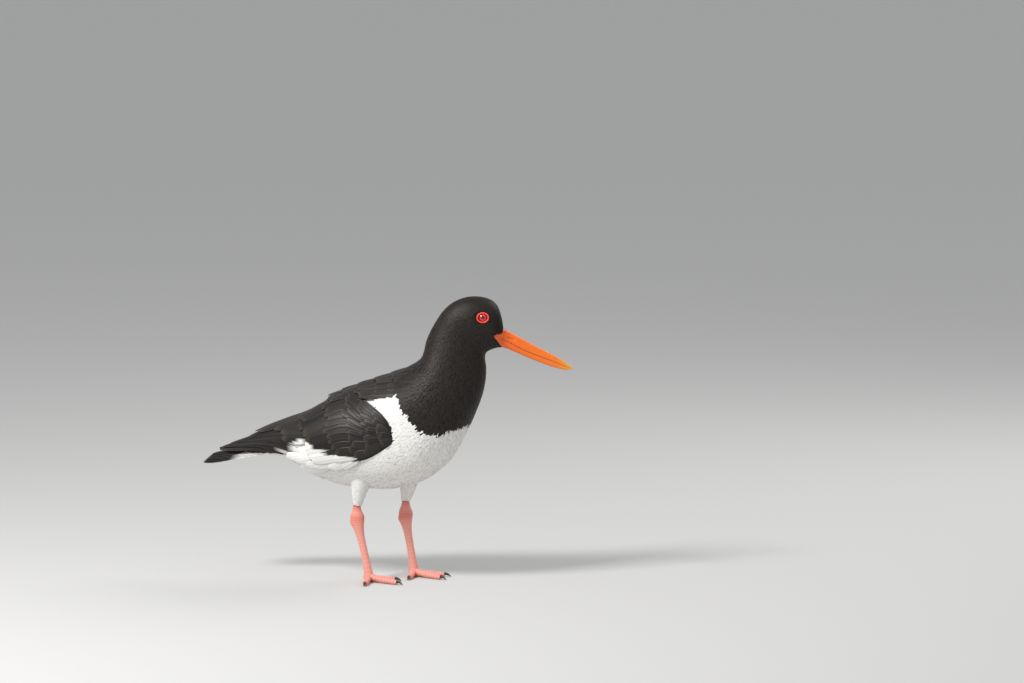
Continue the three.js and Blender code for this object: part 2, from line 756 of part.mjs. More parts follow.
// A short web between the roots of the middle and the outer toe.
function webSolid(leg) {
  const corners = [];
  for (const [name, distance] of [
    ["middle", 2],
    ["outer", 2],
    ["middle", webReach],
    ["outer", webReach],
  ]) {
    const angle = radians(leg.toes[name]);
    const x = leg.palm[0] + distance * Math.cos(angle);
    const y = leg.palm[1] + distance * Math.sin(angle);
    corners.push(new THREE.Vector3(x, y, 0), new THREE.Vector3(x, y, 2.4));
  }
  return solidOf(new ConvexGeometry(corners));
}

const floorUp = [0, 0, 1];
const toeNames = ["inner", "middle", "outer"];
for (const leg of legs) {
  const palmBall = (grow) =>
    solidOf(new THREE.SphereGeometry(1, 12, 8))
      .scale([5.4 + grow, 5.2 + grow, 5.4 + grow])
      .translate([leg.palm[0], leg.palm[1], leg.palm[2]]);
  const thigh = (grow) =>
    limb(
      [leg.thighTop, leg.thighMiddle, leg.thighEnd],
      [
        [12, 10],
        [9.6, 9],
        [7, 6.5],
        [3.9, 3.7],
      ],
      8,
      12,
      grow,
    );
  addNode(`thigh_${leg.side}`, thigh(0).subtract(trunkRoom), colours.white, 0.8);
  const [ax, ay, az] = leg.ankle;
  const [px, py] = leg.palm;
  const shankPoints = [
    [leg.thighEnd[0], leg.thighEnd[1], 82],
    [leg.thighEnd[0], leg.thighEnd[1], 70],
    [ax, ay, az + 2],
    [ax + (px - ax) * 0.22, ay, az - 11],
    [ax + (px - ax) * 0.6, ay, az * 0.5],
    [px, py, 6],
  ];
  const shankRadii = [
    [2.6, 2.6],
    [3.2, 3],
    [4.2, 3.7],
    [6.2, 4.9],
    [6.6, 5.2],
    [5.4, 4.6],
    [4.2, 3.5],
    [3.7, 3],
    [3.6, 2.9],
    [3.8, 3.1],
    [4.6, 3.8],
  ];
  const shank = limb(shankPoints, shankRadii, 18, 10)
    .subtract(thigh(gap))
    .subtract(palmBall(gap));
  addNode(`shank_${leg.side}`, shank, colours.pink, 0.5);
  let foot = palmBall(0).add(webSolid(leg));
  for (const name of toeNames) foot = foot.add(toeSolid(leg, name));
  addNode(`foot_${leg.side}`, foot.trimByPlane(floorUp, 0), colours.pink, 0.5);
  for (const name of toeNames) {
    const claw = clawSolid(leg, name).subtract(toeSolid(leg, name, gap));
    addNode(`claw_${name}_${leg.side}`, claw.trimByPlane(floorUp, 0.2), colours.claw, 0.4);
  }
}

addNode("torso", torsoLoft(0), colours.white, 0.8);
addNode("neck", neckLoft(0), colours.black, 0.8);
addNode("head", head, colours.black, 0.8);

// The part's frame: the origin is on the floor under the middle of the bounding box.
const box = new THREE.Box3().setFromObject(model);
const centre = box.getCenter(new THREE.Vector3());
model.position.set(-centre.x, -centre.y, -box.min.z);
model.updateMatrixWorld(true);

export default model;
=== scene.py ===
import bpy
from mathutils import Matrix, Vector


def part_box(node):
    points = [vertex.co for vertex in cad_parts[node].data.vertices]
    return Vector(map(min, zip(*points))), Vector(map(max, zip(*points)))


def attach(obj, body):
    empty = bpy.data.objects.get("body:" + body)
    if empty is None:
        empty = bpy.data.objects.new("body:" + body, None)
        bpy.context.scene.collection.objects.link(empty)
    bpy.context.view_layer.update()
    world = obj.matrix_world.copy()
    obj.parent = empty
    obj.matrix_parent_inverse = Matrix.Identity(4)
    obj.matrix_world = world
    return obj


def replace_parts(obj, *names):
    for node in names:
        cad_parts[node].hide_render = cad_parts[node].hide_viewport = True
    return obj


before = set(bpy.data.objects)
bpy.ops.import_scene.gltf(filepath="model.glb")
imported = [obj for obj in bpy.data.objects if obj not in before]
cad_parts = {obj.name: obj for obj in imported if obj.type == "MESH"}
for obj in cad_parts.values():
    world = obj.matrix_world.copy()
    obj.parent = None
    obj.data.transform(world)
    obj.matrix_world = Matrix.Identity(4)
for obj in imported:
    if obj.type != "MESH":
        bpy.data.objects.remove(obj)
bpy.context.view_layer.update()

import math

import bpy
import numpy as np

# The bird's own frame is in millimetres: +X to its front, +Y to its left, z = 0 on the floor.
# The head looks 14 degrees to its left, turned about the upright line x = 60, y = 0.
neckTurn = math.radians(14)
neckPivot = 60.0
# The eyes' middle lies this far ahead of that line and this far above the floor.
eyeReach, eyeLevel = 27.2, 258.0
eyeMiddle = np.array([
    neckPivot + eyeReach * math.cos(neckTurn),
    eyeReach * math.sin(neckTurn),
    eyeLevel,
])
eyeCorners = [corner for node in ("eye_left", "eye_right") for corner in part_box(node)]
shift = np.mean([list(corner) for corner in eyeCorners], axis=0) * 1000 - eyeMiddle
rng = np.random.default_rng(11)


def toScene(points):
    # Bird millimetres to scene metres: the two frames differ by one shift.
    return (np.asarray(points, float) + shift) / 1000


# Curves and surfaces.
def throughRows(table, station):
    # A smooth cubic through the table's rows, with slopes from each row's neighbours.
    last = len(table) - 1
    s = np.clip(np.asarray(station, float), 0, last)
    i = np.minimum(s.astype(int), last - 1)
    f = (s - i)[..., None]
    a, b = table[i], table[i + 1]
    before = np.where((i > 0)[..., None], table[np.maximum(i - 1, 0)], 2 * a - b)
    after = np.where((i + 2 <= last)[..., None], table[np.minimum(i + 2, last)], 2 * b - a)
    startSlope, endSlope = (b - before) / 2, (after - a) / 2
    cubic = 3 * (b - a) - 2 * startSlope - endSlope + f * (2 * (a - b) + startSlope + endSlope)
    return a + f * (startSlope + f * cubic)


def smoothStep(value, low, high):
    # 0 below low, 1 above high, and an S-shaped rise between.
    t = np.clip((value - low) / (high - low), 0, 1)
    return t * t * (3 - 2 * t)


def signedPower(value, power):
    # The value's size raised to the power, with the value's own sign kept.
    return np.sign(value) * np.abs(value) ** power


# Rump to bill base: back x and z, belly x and z, half width, level of the widest point.
bodyTable = np.array([
    [-100, 145, -100, 112, 15, 0.5],
    [-84, 154, -86, 104, 25, 0.5],
    [-64, 168, -67, 96.5, 34, 0.5],
    [-43, 180, -45, 91.5, 40.5, 0.49],
    [-20, 191.5, -20, 89.5, 44.5, 0.48],
    [3, 201, 5, 91, 46, 0.48],
    [17, 208.5, 32, 100, 45.5, 0.48],
    [25, 213.5, 54, 118, 43, 0.48],
    [29.5, 218.5, 68, 140, 38.5, 0.47],
    [31.5, 225, 78.5, 162, 33, 0.47],
    [33, 232.5, 86, 181, 27.5, 0.48],
    [36.3, 241, 89.5, 197, 23.5, 0.5],
    [41.5, 250.7, 90, 209, 21, 0.5],
    [49, 262, 89, 217.8, 19.6, 0.52],
    [58.5, 270.5, 90.3, 222.8, 19.2, 0.54],
    [70.7, 275.6, 93.5, 225, 19, 0.56],
    [83, 276.4, 97, 226.5, 18.2, 0.56],
    [94, 273.8, 100, 227.3, 15.7, 0.55],
    [101, 268, 102.3, 227.6, 12, 0.53],
    [105, 257.6, 104.3, 227.6, 8.4, 0.5],
    [107, 247, 106.3, 227.8, 5.9, 0.5],
])


def turnWithNeck(points, share):
    # Rotates points about the neck's upright line by a share of the head's turn.
    angle = neckTurn * share
    dx, dy = points[..., 0] - neckPivot, points[..., 1]
    x = neckPivot + dx * np.cos(angle) - dy * np.sin(angle)
    y = dx * np.sin(angle) + dy * np.cos(angle)
    return np.stack([x, y, points[..., 2]], -1)


def bodySurface(station, around, lift):
    # A rounded section carried from rump to bill: around is 0 on the back, 0.25 on the left.
    row = throughRows(bodyTable, station)
    angle = np.asarray(around) * 2 * np.pi
    up = signedPower(np.cos(angle), 2 / 2.2)
    side = signedPower(np.sin(angle), 2 / 2.2)
    back, belly = row[..., 0:2], row[..., 2:4]
    middle = belly + row[..., 5:6] * (back - belly)
    arm = np.where((up >= 0)[..., None], back, belly) - middle
    length = np.linalg.norm(arm, axis=-1)
    arm = arm * ((length + lift) / length * np.abs(up))[..., None]
    points = np.stack(
        [middle[..., 0] + arm[..., 0], side * (row[..., 4] + lift), middle[..., 1] + arm[..., 1]],
        -1,
    )
    return turnWithNeck(points, smoothStep(station, 7, 12))


# Folded wing and scapulars: lower edge x and z, upper edge x and z, half width, end angles.
wingTable = np.array([
    [15.5, 143, 13.5, 148.5, 46.9, -9, 0],
    [6, 134.5, 0, 165.6, 48.2, -12, 21],
    [-13, 122.5, -21, 179, 48.8, -22, 48],
    [-34.5, 115.4, -42, 185, 47.8, -28, 84],
    [-57, 112.8, -64, 176, 43.8, -31, 87],
    [-80, 113.8, -86, 162.5, 37.4, -30, 87],
    [-96, 119.2, -104, 155, 31, -25, 87],
    [-117, 122.4, -126, 145.6, 24.5, -16, 86],
    [-140, 122.6, -147, 135.8, 18.5, -9, 84],
    [-162, 121.6, -165, 128.6, 13, -4, 76],
    [-174, 121.8, -174.5, 124.8, 9, 0, 30],
])
scapularTable = np.array([
    [19, 184.5, 14, 207.6, 46.8, 34, 88],
    [2, 182, -2, 201, 48, 41, 88],
    [-22, 179.5, -26, 192.4, 48.8, 49, 88],
    [-44, 175.5, -46, 185.4, 47.8, 55, 88],
    [-62, 169.5, -66, 177, 43.6, 57, 88],
])


def archSurface(table, side):
    # An arc of an ellipse between a lower and an upper edge, for one side of the bird.
    def surface(station, up, lift):
        row = throughRows(table, station)
        lowAngle, highAngle = np.radians(row[..., 5]), np.radians(row[..., 6])
        angle = lowAngle + (highAngle - lowAngle) * up
        height = (row[..., 3] - row[..., 1]) / (np.sin(highAngle) - np.sin(lowAngle))
        centre = row[..., 1] - height * np.sin(lowAngle)
        half = row[..., 4]
        ny, nz = np.cos(angle) / half, np.sin(angle) / height
        size = np.hypot(ny, nz)
        x = row[..., 0] + (row[..., 2] - row[..., 0]) * up
        y = half * np.cos(angle) + lift * ny / size
        z = centre + height * np.sin(angle) + lift * nz / size
        return np.stack([x, side * y, z], -1)

    return surface


# Markings: the black and white parting lines in side view, as x and z.
hoodLine = np.array([
    [-75, 130], [-66, 166], [-50, 175.9], [-38, 178.4], [-24, 179.6], [-8, 182.4], [1, 182.3],
    [13, 183], [15.2, 181], [16.5, 175], [19, 168.5], [24, 165], [29, 159], [34, 151.5],
    [44, 147.4], [52, 145.5], [60, 149], [68, 151], [75, 152.5], [83, 153],
])
panelLine = np.array([
    [-125, 90], [-104, 118], [-97, 131], [-92.7, 134], [-83.5, 137.4], [-73.6, 133],
    [-69.8, 129.5], [-58, 128.4], [-46.8, 125.3], [-39, 123], [-27.7, 120.6], [-17.8, 120],
    [-8, 112], [10, 100],
])


def whiteBelow(points, line, ragged):
    # 1 where a point lies below the line, with the line moved up or down by ragged.
    height = np.interp(points[..., 0], line[:, 0], line[:, 1])
    return (points[..., 2] < height + ragged).astype(float)


def bodyWhite(points, station, ragged):
    # The white of the body: all below the hood and mantle, and the flanks behind the mantle.
    below = whiteBelow(points, hoodLine, ragged)
    rump = ((points[..., 0] < -58 + ragged) & (points[..., 2] < 138)).astype(float)
    return np.where(station > 9.4, 0.0, np.maximum(below, rump))


# Meshes.
def flipInward(points, triangles):
    # Turns the faces round if the closed mesh they make has a negative volume.
    a, b, c = (points[triangles[:, k]] for k in range(3))
    middle = points.mean(0)
    volume = np.einsum("ij,ij->", a - middle, np.cross(b - middle, c - middle))
    return triangles[:, ::-1] if volume < 0 else triangles


def addMesh(name, points, triangles, material, uv=None, marks=None, lie=None, soft=0.0):
    # One object at the origin from arrays: bird millimetres, triangles, map and marks. With
    # lie, the shading normals lean by the share soft towards the normals of the form beneath.
    triangles = flipInward(points, triangles)
    mesh = bpy.data.meshes.new(name)
    mesh.vertices.add(len(points))
    mesh.vertices.foreach_set("co", toScene(points).astype(np.float32).ravel())
    mesh.loops.add(triangles.size)
    mesh.loops.foreach_set("vertex_index", triangles.astype(np.int32).ravel())
    mesh.polygons.add(len(triangles))
    mesh.polygons.foreach_set("loop_start", np.arange(0, triangles.size, 3, dtype=np.int32))
    mesh.polygons.foreach_set("use_smooth", np.ones(len(triangles), bool))
    mesh.update(calc_edges=True)
    if uv is not None:
        layer = mesh.uv_layers.new(name="OFBake")
        layer.uv.foreach_set("vector", uv[triangles.ravel()].astype(np.float32).ravel())
    if marks is not None:
        attribute = mesh.attributes.new("marks", "FLOAT_COLOR", "POINT")
        attribute.data.foreach_set("color", marks.astype(np.float32).ravel())
    mesh.validate()
    if lie is not None:
        own = np.zeros(len(points) * 3, np.float32)
        mesh.vertex_normals.foreach_get("vector", own)
        blended = own.reshape(-1, 3) * (1 - soft) + lie * soft
        blended /= np.linalg.norm(blended, axis=-1, keepdims=True) + 1e-9
        mesh.normals_split_custom_set_from_vertices(blended)
    mesh.materials.append(material)
    piece = bpy.data.objects.new(name, mesh)
    bpy.context.collection.objects.link(piece)
    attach(piece, "root")
    return piece


def tubeTriangles(rings, sides, first=0):
    # Faces of a closed tube: a start point, rings of equal size, then an end point.
    ring = np.arange(sides)
    after = (ring + 1) % sides
    start, end = first, first + 1 + rings * sides
    base = first + 1 + np.arange(rings - 1)[:, None] * sides
    a, b = base + ring, base + after
    quads = np.stack([a, b, b + sides, a, b + sides, a + sides], -1).reshape(-1, 3)
    top = end - sides
    caps = np.concatenate([
        np.stack([np.full(sides, start), first + 1 + after, first + 1 + ring], -1),
        np.stack([np.full(sides, end), top + ring, top + after], -1),
    ])
    return np.concatenate([quads, caps])


def tube(function, rings, sides):
    # A closed tube from function(along, around), both arrays from 0 to 1.
    along = np.repeat(np.linspace(0, 1, rings), sides)
    around = np.tile(np.arange(sides) / sides, rings)
    body = function(along, around)
    ends = [body[:sides].mean(0), body[-sides:].mean(0)]
    points = np.concatenate([[ends[0]], body, [ends[1]]])
    coordinates = np.concatenate([[[0, 0]], np.stack([along, around], -1), [[1, 0]]])
    return points, tubeTriangles(rings, sides), coordinates


def joined(parts):
    # Several (points, triangles, ...) tuples as one, with the faces renumbered.
    offsets = np.cumsum([0] + [len(part[0]) for part in parts[:-1]])
    triangles = np.concatenate([part[1] + o for part, o in zip(parts, offsets)])
    others = [np.concatenate([part[k] for part in parts]) for k in range(2, len(parts[0]))]
    return (np.concatenate([part[0] for part in parts]), triangles, *others)


smallSection = {"across": np.array([-1, 0, 1, 0]), "rise": np.array([0, 1, 0, -1])}
bladeAcross = np.array([-1, -0.72, -0.4, -0.08, 0, 0.08, 0.4, 0.72, 1])
bladeSection = {
    "across": np.concatenate([bladeAcross, bladeAcross[-2:0:-1]]),
    "rise": np.concatenate([
        [0, 0.35, 0.55, 0.62, 1.25, 0.62, 0.55, 0.35, 0],
        [-0.5, -0.5, -0.5, -0.5, -0.5, -0.5, -0.5],
    ]),
}
smallOutline = {"reach": np.array([0.3, 0.7, 0.93]), "width": np.array([0.75, 1, 0.55])}
bladeReach = np.array([0.04, 0.12, 0.24, 0.38, 0.52, 0.66, 0.78, 0.87, 0.93, 0.97, 0.99])
roundOutline = {
    "reach": bladeReach,
    "width": np.array([0.3, 0.6, 0.85, 0.97, 1, 1, 0.97, 0.87, 0.7, 0.48, 0.28]),
}
tailOutline = {
    "reach": bladeReach,
    "width": np.array([0.5, 0.7, 0.84, 0.93, 1, 1, 0.97, 0.82, 0.62, 0.42, 0.22]),
}
pointOutline = {
    "reach": bladeReach,
    "width": np.array([0.4, 0.7, 0.9, 1, 1, 0.97, 0.85, 0.68, 0.5, 0.32, 0.2]),
}


def vanes(surface, root, tip, half, lift, sink, thick, section, outline):
    # Closed vanes on a surface. Each runs straight from its root to its tip, both (u, v) on the
    # surface; its face rises from -sink to lift and is domed by thick across.
    root, tip = np.asarray(root, float), np.asarray(tip, float)
    count = len(root)
    half, lift, sink, thick = (
        np.broadcast_to(value, count).astype(float) for value in (half, lift, sink, thick)
    )
    middle = (root + tip) / 2
    step = 0.01
    here = surface(middle[:, 0], middle[:, 1], 0)
    perU = np.linalg.norm(surface(middle[:, 0] + step, middle[:, 1], 0) - here, axis=-1) / step
    perV = np.linalg.norm(surface(middle[:, 0], middle[:, 1] + step, 0) - here, axis=-1) / step
    metric = np.stack([np.maximum(perU, 0.5), np.maximum(perV, 0.5)], -1)
    run = (tip - root) * metric
    length = np.linalg.norm(run, axis=-1)
    forward = run / length[:, None]
    beside = np.stack([-forward[:, 1], forward[:, 0]], -1) / metric
    reach = np.concatenate([[0], outline["reach"], [1]])
    ringCount, sides = len(outline["reach"]), len(section["across"])
    # A ring's corners share their reach; the first and last points close the vane.
    r = np.concatenate([[0], np.repeat(outline["reach"], sides), [1]])
    width = np.repeat(outline["width"], sides) * np.tile(section["across"], ringCount)
    w = np.concatenate([[0], width, [0]])
    rise = np.concatenate([[0], np.tile(section["rise"], ringCount), [0]])
    fade = np.concatenate([[0], np.repeat(np.sqrt(outline["width"]), sides), [0]])
    place = root[:, None] + (tip - root)[:, None] * r[None, :, None]
    place = place + beside[:, None] * (w[None, :] * half[:, None])[..., None]
    face = -sink[:, None] + (lift + sink)[:, None] * r[None] ** 0.75
    face = face + thick[:, None] * (rise * fade)[None]
    points = surface(place[..., 0], place[..., 1], face)
    each = points.shape[1]
    one = tubeTriangles(ringCount, sides)
    triangles = (one[None] + (np.arange(count) * each)[:, None, None]).reshape(-1, 3)
    along = np.broadcast_to(r, (count, each))
    across = np.broadcast_to(w, (count, each))
    lie = surfaceNormal(surface, place[..., 0], place[..., 1])
    return points, triangles, along, across, lie


# The maps fill mapShare of the unit square from mapMargin on; a tuft's patch is tuftPatch wide.
mapMargin, mapShare, tuftPatch = 0.02, 0.95, 0.003


def wholeMap(coordinates):
    # A tube's own unwrap, along and around, drawn in to the margins of the unit square.
    return coordinates * mapShare + mapMargin


def rootMap(root, extent, along, across):
    # The coat's map: each tuft a small patch at its root's place on the surface's own unwrap.
    base = mapMargin + mapShare * root / np.asarray(extent)
    return base[:, None] + tuftPatch * np.stack([across * 0.5 + 0.5, along], -1)


def surfaceNormal(surface, u, v):
    # The outward unit normal: across both directions, on the side that lift moves to.
    here = surface(u, v, 0.0)
    normal = np.cross(surface(u + 0.01, v, 0.0) - here, surface(u, v + 0.004, 0.0) - here)
    outward = np.einsum("...i,...i", normal, surface(u, v, 1.0) - here)
    normal = normal * np.sign(outward)[..., None]
    return normal / (np.linalg.norm(normal, axis=-1, keepdims=True) + 1e-9)


def evenRoots(surface, count, uRange, vRange, cells=(160, 256)):
    # Evenly spread roots: two steady fractions, the first read as a share of the area of the
    # rows up to a root, the second as its share of the area within that row.
    u = np.linspace(*uRange, cells[0])
    v = np.linspace(*vRange, cells[1])
    gridU, gridV = np.meshgrid(u, v, indexing="ij")
    points = surface(gridU, gridV, 0.0)
    du, dv = np.gradient(points, axis=0), np.gradient(points, axis=1)
    area = np.linalg.norm(np.cross(du, dv), axis=-1) + 1e-9
    rowShare = np.cumsum(area.sum(1)) / area.sum()
    first, second = ((0.5 + np.arange(count) * step) % 1 for step in (0.7548776662, 0.5698402910))
    place = np.interp(first, rowShare, np.arange(cells[0]))
    row = place.astype(int)
    inRow = np.cumsum(area, 1) / area.sum(1, keepdims=True)
    flat = (inRow + np.arange(cells[0])[:, None]).ravel()
    column = np.searchsorted(flat, second + row) - row * cells[1]
    rootU = np.interp(place, np.arange(cells[0]), u)
    column = np.clip(column, 0, cells[1] - 1) + rng.random(count) - 0.5
    rootV = np.interp(column, np.arange(cells[1]), v)
    return np.stack([rootU, rootV], -1)


# Materials.
def material(name, roughness, **sockets):
    # One principled shader with its roughness and any other sockets set to plain values.
    made = bpy.data.materials.new(name)
    made.use_nodes = True
    shader = made.node_tree.nodes["Principled BSDF"]
    shader.inputs["Roughness"].default_value = roughness
    for socket, value in sockets.items():
        shader.inputs[socket.replace("_", " ")].default_value = value
    return made, made.node_tree, shader


def mixNode(tree, factor, first, second):
    # A colour mix whose three inputs are sockets, numbers or colours.
    node = tree.nodes.new("ShaderNodeMix")
    node.data_type = "RGBA"
    for index, value in ((0, factor), (6, first), (7, second)):
        if isinstance(value, bpy.types.NodeSocket):
            tree.links.new(value, node.inputs[index])
        else:
            node.inputs[index].default_value = value
    return node.outputs[2]


def plumageGroup():
    # Feather colour from three marks: white, tone and nearness to the vane's edge. The along input
    # is not used.
    group = bpy.data.node_groups.new("plumageColour", "ShaderNodeTree")
    for name in ("White", "Tone", "Along", "Edge"):
        group.interface.new_socket(name, in_out="INPUT", socket_type="NodeSocketFloat")
    group.interface.new_socket("Colour", in_out="OUTPUT", socket_type="NodeSocketColor")
    source = group.nodes.new("NodeGroupInput").outputs
    black = mixNode(group, source["Tone"], (0.004, 0.0035, 0.0035, 1), (0.026, 0.019, 0.015, 1))
    pale = mixNode(group, source["Edge"], black, (0.085, 0.066, 0.052, 1))
    white = mixNode(group, source["Tone"], (0.74, 0.725, 0.69, 1), (0.88, 0.87, 0.84, 1))
    both = mixNode(group, source["White"], pale, white)
    sink = group.nodes.new("NodeGroupOutput")
    group.links.new(both, sink.inputs["Colour"])
    return group


plumageColour = plumageGroup()


def plumageMaterial(name, roughness, gloss):
    # The feather colour group, fed by the marks attribute: white, tone, along and edge.
    made, tree, shader = material(name, roughness, Specular_IOR_Level=gloss)
    marks = tree.nodes.new("ShaderNodeAttribute")
    marks.attribute_name = "marks"
    parts = tree.nodes.new("ShaderNodeSeparateColor")
    tree.links.new(marks.outputs["Color"], parts.inputs["Color"])
    group = tree.nodes.new("ShaderNodeGroup")
    group.node_tree = plumageColour
    for output, mark in (("Red", "White"), ("Green", "Tone"), ("Blue", "Along")):
        tree.links.new(parts.outputs[output], group.inputs[mark])
    tree.links.new(marks.outputs["Alpha"], group.inputs["Edge"])
    tree.links.new(group.outputs["Colour"], shader.inputs["Base Color"])
    return made


softPlumage = plumageMaterial("softPlumage", 0.5, 0.24)
firmPlumage = plumageMaterial("firmPlumage", 0.46, 0.32)

# Skin: one form from rump to bill base, with the two thighs.
legTable = [
    {
        "side": "right",
        "thigh": [[-26, -21, 112], [-29, -22, 93], [-32, -22, 74]],
        "shank": [
            [-32, -22, 82], [-32, -22, 70], [-31.4, -22, 59], [-28.9, -22, 46], [-24.6, -22, 28],
            [-20, -22.5, 6],
        ],
        "palm": [-20, -22.5, 4.5],
        "toes": {"inner": 12, "middle": -24, "outer": -82},
    },
    {
        "side": "left",
        "thigh": [[10, 21, 112], [8, 22, 93], [5, 22, 74]],
        "shank": [
            [5, 22, 82], [5, 22, 70], [5, 22, 58], [6.8, 22, 45], [9.8, 22, 28], [13, 22.5, 6],
        ],
        "palm": [13, 22.5, 4.5],
        "toes": {"inner": -86, "middle": -27, "outer": 4},
    },
]


def limbSurface(path, radii):
    # An oval carried along a smooth path: radii are fore-and-aft, then sideways. Its fore
    # direction is the path's, turned upright, and leans to +X where the path runs sideways.
    path, radii = np.array(path, float), np.array(radii, float)

    def surface(along, around, lift):
        along, around = np.broadcast_arrays(np.asarray(along, float), np.asarray(around, float))
        last = len(path) - 1
        centre = throughRows(path, along * last)
        tangent = throughRows(path, along * last + 0.01) - throughRows(path, along * last - 0.01)
        tangent = tangent / (np.linalg.norm(tangent, axis=-1, keepdims=True) + 1e-9)
        fore = np.stack([tangent[..., 2], np.zeros_like(along), -tangent[..., 0]], -1)
        level = np.abs(tangent[..., 1:2])
        sideways = np.linalg.norm(fore, axis=-1, keepdims=True) < 0.3
        fore = fore + level * np.array([1.0, 0, 0]) * sideways
        fore = fore / (np.linalg.norm(fore, axis=-1, keepdims=True) + 1e-9)
        beside = np.cross(tangent, fore)
        radius = throughRows(radii, along * (len(radii) - 1)) + np.asarray(lift)[..., None]
        angle = around * 2 * np.pi
        out = (radius[..., 0] * np.cos(angle))[..., None] * fore
        return centre + out + (radius[..., 1] * np.sin(angle))[..., None] * beside

    return surface


# The eyes, in the head before its turn: middle, half widths of the pressed socket, of the bare
# oval and of the lid ring, and the ring's tube.
eyeSettings = {
    "x": neckPivot + eyeReach, "z": eyeLevel, "socket": (6.2, 5.3), "press": 1.7,
    "bare": (6.9, 6.0), "ball": 4.7, "ballSide": 14.6, "ring": (5.35, 4.55), "ringSide": 18.1,
    "tube": (0.82, 0.76), "beads": 9, "beading": 0.08, "yaw": 5.0,
}
skinSettings = {
    "depth": 1.2, "thinning": 0.7, "rings": 260, "sides": 160, "thighRings": 14, "thighSides": 20,
    "thighRadii": [[12, 10], [9.6, 9], [7, 6.5], [3.9, 3.7]], "tone": 0.4,
}
skinDepth, thighRadii = skinSettings["depth"], skinSettings["thighRadii"]


def skinPart():
    # The body form, sunk by the coat's depth, which thins towards the bill, its ends closed.
    points, triangles, coordinates = tube(
        lambda along, around: bodySurface(
            along * 20, around, -skinDepth * (1 - skinSettings["thinning"] * along)
        ),
        skinSettings["rings"],
        skinSettings["sides"],
    )
    # the eye sockets: the skin round either eye is pressed in towards the middle of the head
    toHead = points - [neckPivot, 0, 0]
    x = toHead[:, 0] * math.cos(neckTurn) + toHead[:, 1] * math.sin(neckTurn) + neckPivot
    long, high = eyeSettings["socket"]
    oval = ((x - eyeSettings["x"]) / long) ** 2 + ((points[:, 2] - eyeSettings["z"]) / high) ** 2
    middleY = 6.6  # the turned head's own middle at the eyes
    outward = np.sign(points[:, 1] - middleY)
    press = eyeSettings["press"] * (1 - smoothStep(oval, 0.75, 1.25)) * outward
    points = points - press[:, None] * [-math.sin(neckTurn), math.cos(neckTurn), 0]
    white = bodyWhite(points, coordinates[:, 0] * 20, 0)
    tone, edge = np.full(len(points), skinSettings["tone"]), np.zeros(len(points))
    marks = np.stack([white, tone, coordinates[:, 0], edge], -1)
    return points, triangles, wholeMap(coordinates), marks


def thighPart(leg):
    # The thigh's tapering oval, sunk by the coat's depth and white all over.
    surface = limbSurface(leg["thigh"], thighRadii)
    points, triangles, coordinates = tube(
        lambda along, around: surface(along, around, -skinDepth),
        skinSettings["thighRings"],
        skinSettings["thighSides"],
    )
    marks = np.tile([1.0, skinSettings["tone"], 0, 0], (len(points), 1))
    return points, triangles, wholeMap(coordinates), marks


skinPoints, skinTriangles, skinMap, skinMarks = joined([skinPart(), *map(thighPart, legTable)])
skin = addMesh("skin", skinPoints, skinTriangles, softPlumage, skinMap, skinMarks)
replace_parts(skin, "torso", "neck", "head", "thigh_left", "thigh_right")
print("skin done")


def nearEye(points):
    # True inside the bare oval round either eye, seen from the side of the unturned head.
    dx, dy = points[..., 0] - neckPivot, points[..., 1]
    x = neckPivot + dx * math.cos(neckTurn) + dy * math.sin(neckTurn)
    long, high = eyeSettings["bare"]
    z = points[..., 2] - eyeSettings["z"]
    return ((x - eyeSettings["x"]) / long) ** 2 + (z / high) ** 2 < 1


# Coat: small overlapping feathers over the skin, every one rooted on it.
# What each coat piece uses unless its own settings say otherwise. Millimetres, and shares of the
# form: "from" is the stretch of stations with roots, "lie" -1 points the feathers to the tail.
coatDefaults = {
    "surface": bodySurface, "extent": (20, 1), "around": (0, 1), "lie": -1, "white": bodyWhite,
    "sink": 1.0, "thick": 0.1, "yaw": 0.16, "uneven": 0.16, "ragged": 1.1, "edge": 0.08,
}


